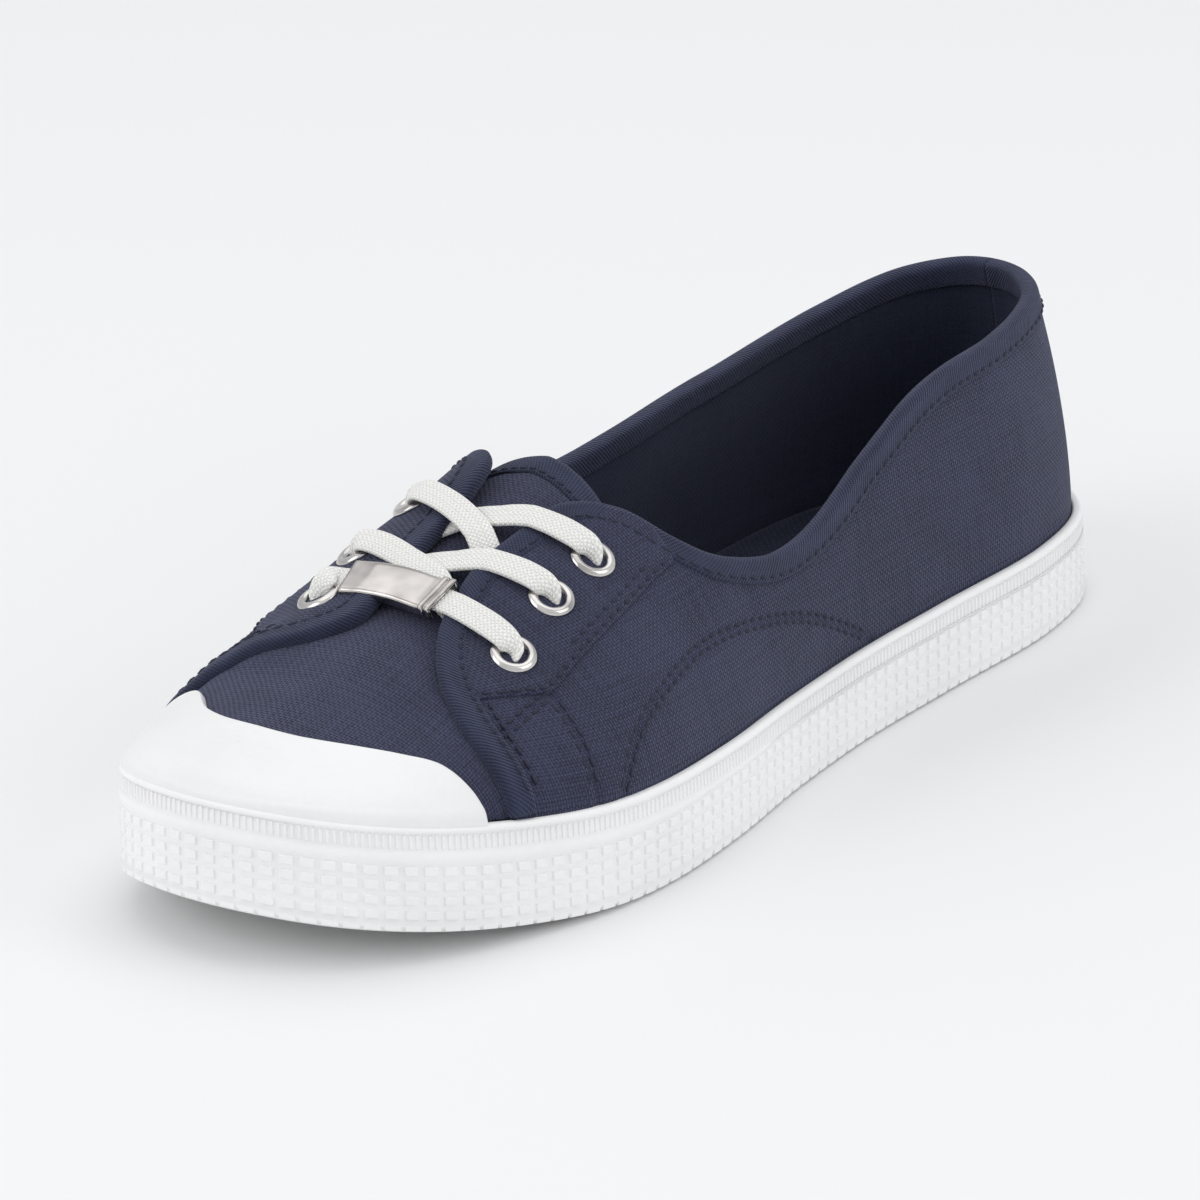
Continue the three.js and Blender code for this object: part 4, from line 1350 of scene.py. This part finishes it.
def eyelet_frame(row, side):
    u, share = EYELETS[row][side]
    angle = np.array(float(angle_of(u)))
    point, normal, by_angle, _ = last_frame(angle, side, np.array(share))
    lift = float(proud(angle)) + STAY_THICKNESS
    if side == MEDIAL:
        lift += float(flap_lift(point))
    return Vector(point + normal * lift), Vector(normal), Vector(by_angle).normalized()


def make_eyelet(row, side):
    """A rolled flange and a barrel, spun about the eyelet's axis."""
    bm = bmesh.new()
    section = [
        (2.30, -2.3), (2.30, -0.2), (2.38, 0.25), (2.62, 0.62), (3.00, 0.86), (3.42, 0.88), (3.85, 0.68),
        (4.18, 0.34), (4.32, 0.02), (4.25, -0.12), (3.9, -0.16), (2.9, -0.16), (2.55, -0.4), (2.55, -2.3),
    ]
    verts = [bm.verts.new((r, 0, z)) for r, z in section]
    edge_loop = [bm.edges.new((a, b)) for a, b in zip(verts, verts[1:] + verts[:1])]
    bmesh.ops.spin(
        bm, geom=verts + edge_loop, cent=(0, 0, 0), axis=(0, 0, 1), angle=2 * math.pi, steps=56,
        use_merge=True, use_duplicate=False,
    )
    bmesh.ops.remove_doubles(bm, verts=bm.verts, dist=1e-4)
    centre, normal, _ = eyelet_frame(row, side)
    turn = Vector((0, 0, 1)).rotation_difference(normal).to_matrix().to_4x4()
    bmesh.ops.transform(bm, matrix=Matrix.Translation(centre) @ turn, verts=bm.verts)
    face_out(bm)
    place = "%s_%s" % (row, SIDE_WORDS[side])
    piece = add_piece("ring_" + place, bm, ring_steel)
    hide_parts("eyelet_" + place)


# ------------------------------------------------------------------ laces


def throat_point(u, across, lift):
    """A point over the throat: millimetres from its middle line, and off the last."""
    side = LATERAL if across > 0 else MEDIAL
    angle = np.array(float(angle_of(u)))
    share = solve_share(angle, side, lambda p: np.abs(p[..., 0] - ridge_x(angle)) > abs(across))
    point, normal, _, _ = last_frame(angle, side, share)
    return point + normal * lift


def lace_strap(path, ups, widths, segments):
    """A flat elastic strap with rounded edges, swept along its centre line."""
    centre = smooth_line(path, segments + 1)
    tangent = np.gradient(centre, axis=0)
    tangent = unit(tangent)
    t = np.linspace(0, 1, segments + 1)
    keys = np.linspace(0, 1, len(ups))
    up = np.stack([np.interp(t, keys, np.array(ups)[:, k]) for k in range(3)], -1)
    up -= tangent * (up * tangent).sum(1, keepdims=True)
    up = unit(up)
    across = np.cross(tangent, up)
    width = np.interp(t, np.linspace(0, 1, len(widths)), widths)
    around = 24
    bm, flat = flat_sheet(segments, around)
    i = np.rint(flat[:, 0] * segments).astype(int)
    turn = flat[:, 1] * 2 * math.pi
    c, s = np.cos(turn), np.sin(turn)
    a = np.sign(c) * np.abs(c) ** 0.55 * width[i] / 2
    b = np.sign(s) * np.abs(s) ** 0.75 * LACE_THICKNESS / 2
    cup = -0.10 * np.abs(a) ** 1.5 * (1 - width[i] / LACE_WIDTH) * 2
    places = centre[i] + across[i] * a[:, None] + up[i] * (b + cup)[:, None]
    length = np.linalg.norm(np.diff(centre, axis=0), axis=1).sum()
    cloth = np.stack([flat[:, 0] * length, a + np.where(s < 0, 20, 0)], -1)
    move_points(bm, places, cloth)
    close_tube(bm)
    return bm


def over_ring(row, side, toward, lift=2.1, reach=3.6):
    """Where a strap comes over the eyelet's inner rim, then down its hole and away underneath."""
    centre, normal, _ = eyelet_frame(row, side)
    inward = Vector(toward) - centre
    inward = (inward - normal * inward.dot(normal)).normalized()
    return [
        centre + inward * reach + normal * lift,
        centre + inward * (reach - 2.1) + normal * (lift - 0.35),
        centre + inward * 0.3 + normal * 0.35,
        centre - inward * 0.1 - normal * 1.6,
        centre - inward * 0.1 - normal * 3.0,
    ], normal


def cross_strap(start_u, start_side, row, lifts, middle_u):
    """From under one facing, up over the tongue and down the eyelet of the other side."""
    away = -start_side
    spread = (15.0, 9.0, 4.5, 3.0, 9.5) if start_side == LATERAL else (10.0, 5.0, 0.5, 5.0, 10.5)
    path = [
        throat_point(start_u + 1.5, spread[0] * start_side, -1.5),
        throat_point(start_u + 0.5, spread[1] * start_side, -1.2),
        throat_point(middle_u[0], spread[2] * start_side, lifts[0]),
        throat_point(middle_u[1], spread[3] * away, lifts[1]),
        throat_point(middle_u[2], spread[4] * away, lifts[2]),
    ]
    end, normal = over_ring(row, away, path[-1])
    path += [np.array(p) for p in end]
    side_up = np.array(normal) + np.array([0, -0.15, 0.2])
    over = np.array(normal) * 0.6 + (0, -0.3, 0.3)
    ups = [(0, -0.35, 1), (0, -0.38, 1), (0, -0.4, 1), side_up, over, (0, -1.0, 0.4)]
    widths = [LACE_WIDTH] * 12 + NARROWING[::-1]
    return lace_strap(path, ups, widths, 90)


# For each pair of straps: where each starts, its side, its lifts and its stations over the tongue.
STRAPS = {
    "middle": [
        (186.5, MEDIAL, (-0.3, 0.6, 1.9), (185.5, 183.5, 181)),
        (190.5, LATERAL, (0.7, 1.5, 2.6), (188.5, 186.5, 184.0)),
    ],
    "back": [
        (174.5, MEDIAL, (-0.2, 0.8, 2.1), (173, 171, 168.5)),
        (178.0, LATERAL, (1.0, 2.6, 4.1), (176.0, 173.0, 170.5)),
    ],
}


def make_laces():
    for row, straps in STRAPS.items():
        bm = bmesh.new()
        for start_u, side, lifts, stations in straps:
            merge_into(bm, cross_strap(start_u, side, row, lifts, stations))
        piece = add_piece("lace_" + row + "_pair", bm, elastic)
        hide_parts("lace_cross_" + row)
    bm = lace_strap(bar_path(), [PLATE_UP] * 3, bar_widths(), 120)
    piece = add_piece("lace_front_bar", bm, elastic)
    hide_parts("lace_bar")


PLATE_UP = np.array([0.06, -0.46, 1.0])


def bar_middle():
    """The bar's centre line between its two eyelets."""
    rise = ((-12, 2.4), (-6, 1.5), (0, 1.0), (6, 1.1), (12, 2.4))
    return [throat_point(193.0, x, lift) for x, lift in rise]


def bar_path():
    middle = bar_middle()
    left, _ = over_ring("front", MEDIAL, middle[0])
    right, _ = over_ring("front", LATERAL, middle[-1])
    return [np.array(p) for p in left[::-1]] + middle + [np.array(p) for p in right]


def bar_widths():
    return NARROWING + [LACE_WIDTH] * 14 + NARROWING[::-1]


# ------------------------------------------------------------------ plate
PLATE_LENGTH = 20.6


def make_plate():
    """A curved plate with turned-down edges, riding over the bar, framed at its lateral end."""
    centre = smooth_line(bar_path(), 400)
    run = distance_along(centre)
    middle = np.interp(np.array(bar_middle()[2])[0] - 0.2, centre[:, 0], run)
    section = [
        (-4.0, -0.95), (-4.0, 0.95), (-3.7, 1.3), (-3.1, 1.42), (3.1, 1.42), (3.7, 1.3),
        (4.0, 0.95), (4.0, -0.95), (3.5, -0.95), (3.5, 0.75), (3.0, 0.9), (-3.0, 0.9), (-3.5, 0.75),
        (-3.5, -0.95),
    ]
    ring = smooth_ring(section, 56)
    whole = bmesh.new()

    def channel(start, end, grow, count):
        bm, flat = flat_sheet(count, 56)
        mm = middle + start + (end - start) * flat[:, 0]
        at = along_line(mm, run, centre)
        tangent = unit(along_line(mm + 0.5, run, centre) - along_line(mm - 0.5, run, centre))
        up = unit(PLATE_UP - tangent * (tangent @ PLATE_UP)[:, None])
        across = np.cross(tangent, up)
        index = np.rint(flat[:, 1] * 56).astype(int) % 56
        out = ring[index]
        places = at + across * (out[:, :1] + np.sign(out[:, :1]) * grow) + up * (out[:, 1:] + grow)
        move_points(bm, places)
        close_tube(bm)
        merge_into(whole, bm)

    half = PLATE_LENGTH / 2
    channel(-half, half, 0.0, 36)
    for start in (half - 2.3, half - 0.7):
        channel(start, start + 0.7, 0.32, 3)
    piece = add_piece("plate_shell", whole, steel)
    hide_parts("lace_plate")


# ------------------------------------------------------------------ heel and tongue trim


def make_backstay(columns=60, rows=70):
    """A plain strip up the back of the heel."""
    bm, flat = flat_sheet(columns, rows)
    across = (2 * flat[:, 0] - 1) * (8.0 + 1.5 * (1 - flat[:, 1]))
    places = np.zeros((len(flat), 3))
    outward = np.zeros((len(flat), 3))
    for side in (LATERAL, MEDIAL):
        mine = on_side(across, side)
        turn = np.linspace(0, float(angle_of(14)), 200)
        width = np.abs(last_surface(turn, side, 0.2)[:, 0])
        angle = np.interp(np.abs(across[mine]), width, turn)
        top = share_at_height(angle, side, collar_height[side](angle)) - 0.02
        share = top * flat[mine, 1]
        point, normal, _, _ = last_frame(angle, side, share)
        lift = 0.72 + crease_lift(side, point)
        places[mine] = point + normal * lift[:, None]
        outward[mine] = normal
    cloth = np.stack([across, places[:, 2]], -1)
    move_points(bm, places, cloth, outward)
    thicken(bm, 0.6)
    return add_piece("backstay", bm, canvas)


make_quarter("quarter_lateral", LATERAL)
upper_piece = make_quarter("quarter_medial", MEDIAL)
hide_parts("upper")
make_stay("stay_lateral", LATERAL)
make_stay("stay_medial", MEDIAL)
make_vamp()
make_tongue_trim()
for side, word in SIDE_WORDS.items():
    tape_round_edge("binding_" + word, edges[side], 0.0, edges[side].length - 0.5, edge_lift(side))
    make_stitching(side, "stitching_" + word)
    make_lining("lining_" + word, side)
make_footbed()
make_cupsole()
make_sidewall_relief()
make_tread()
make_sole_marks()
make_toe_cap()
for row in EYELETS:
    for side in (LATERAL, MEDIAL):
        make_eyelet(row, side)
make_laces()
make_plate()
make_backstay()
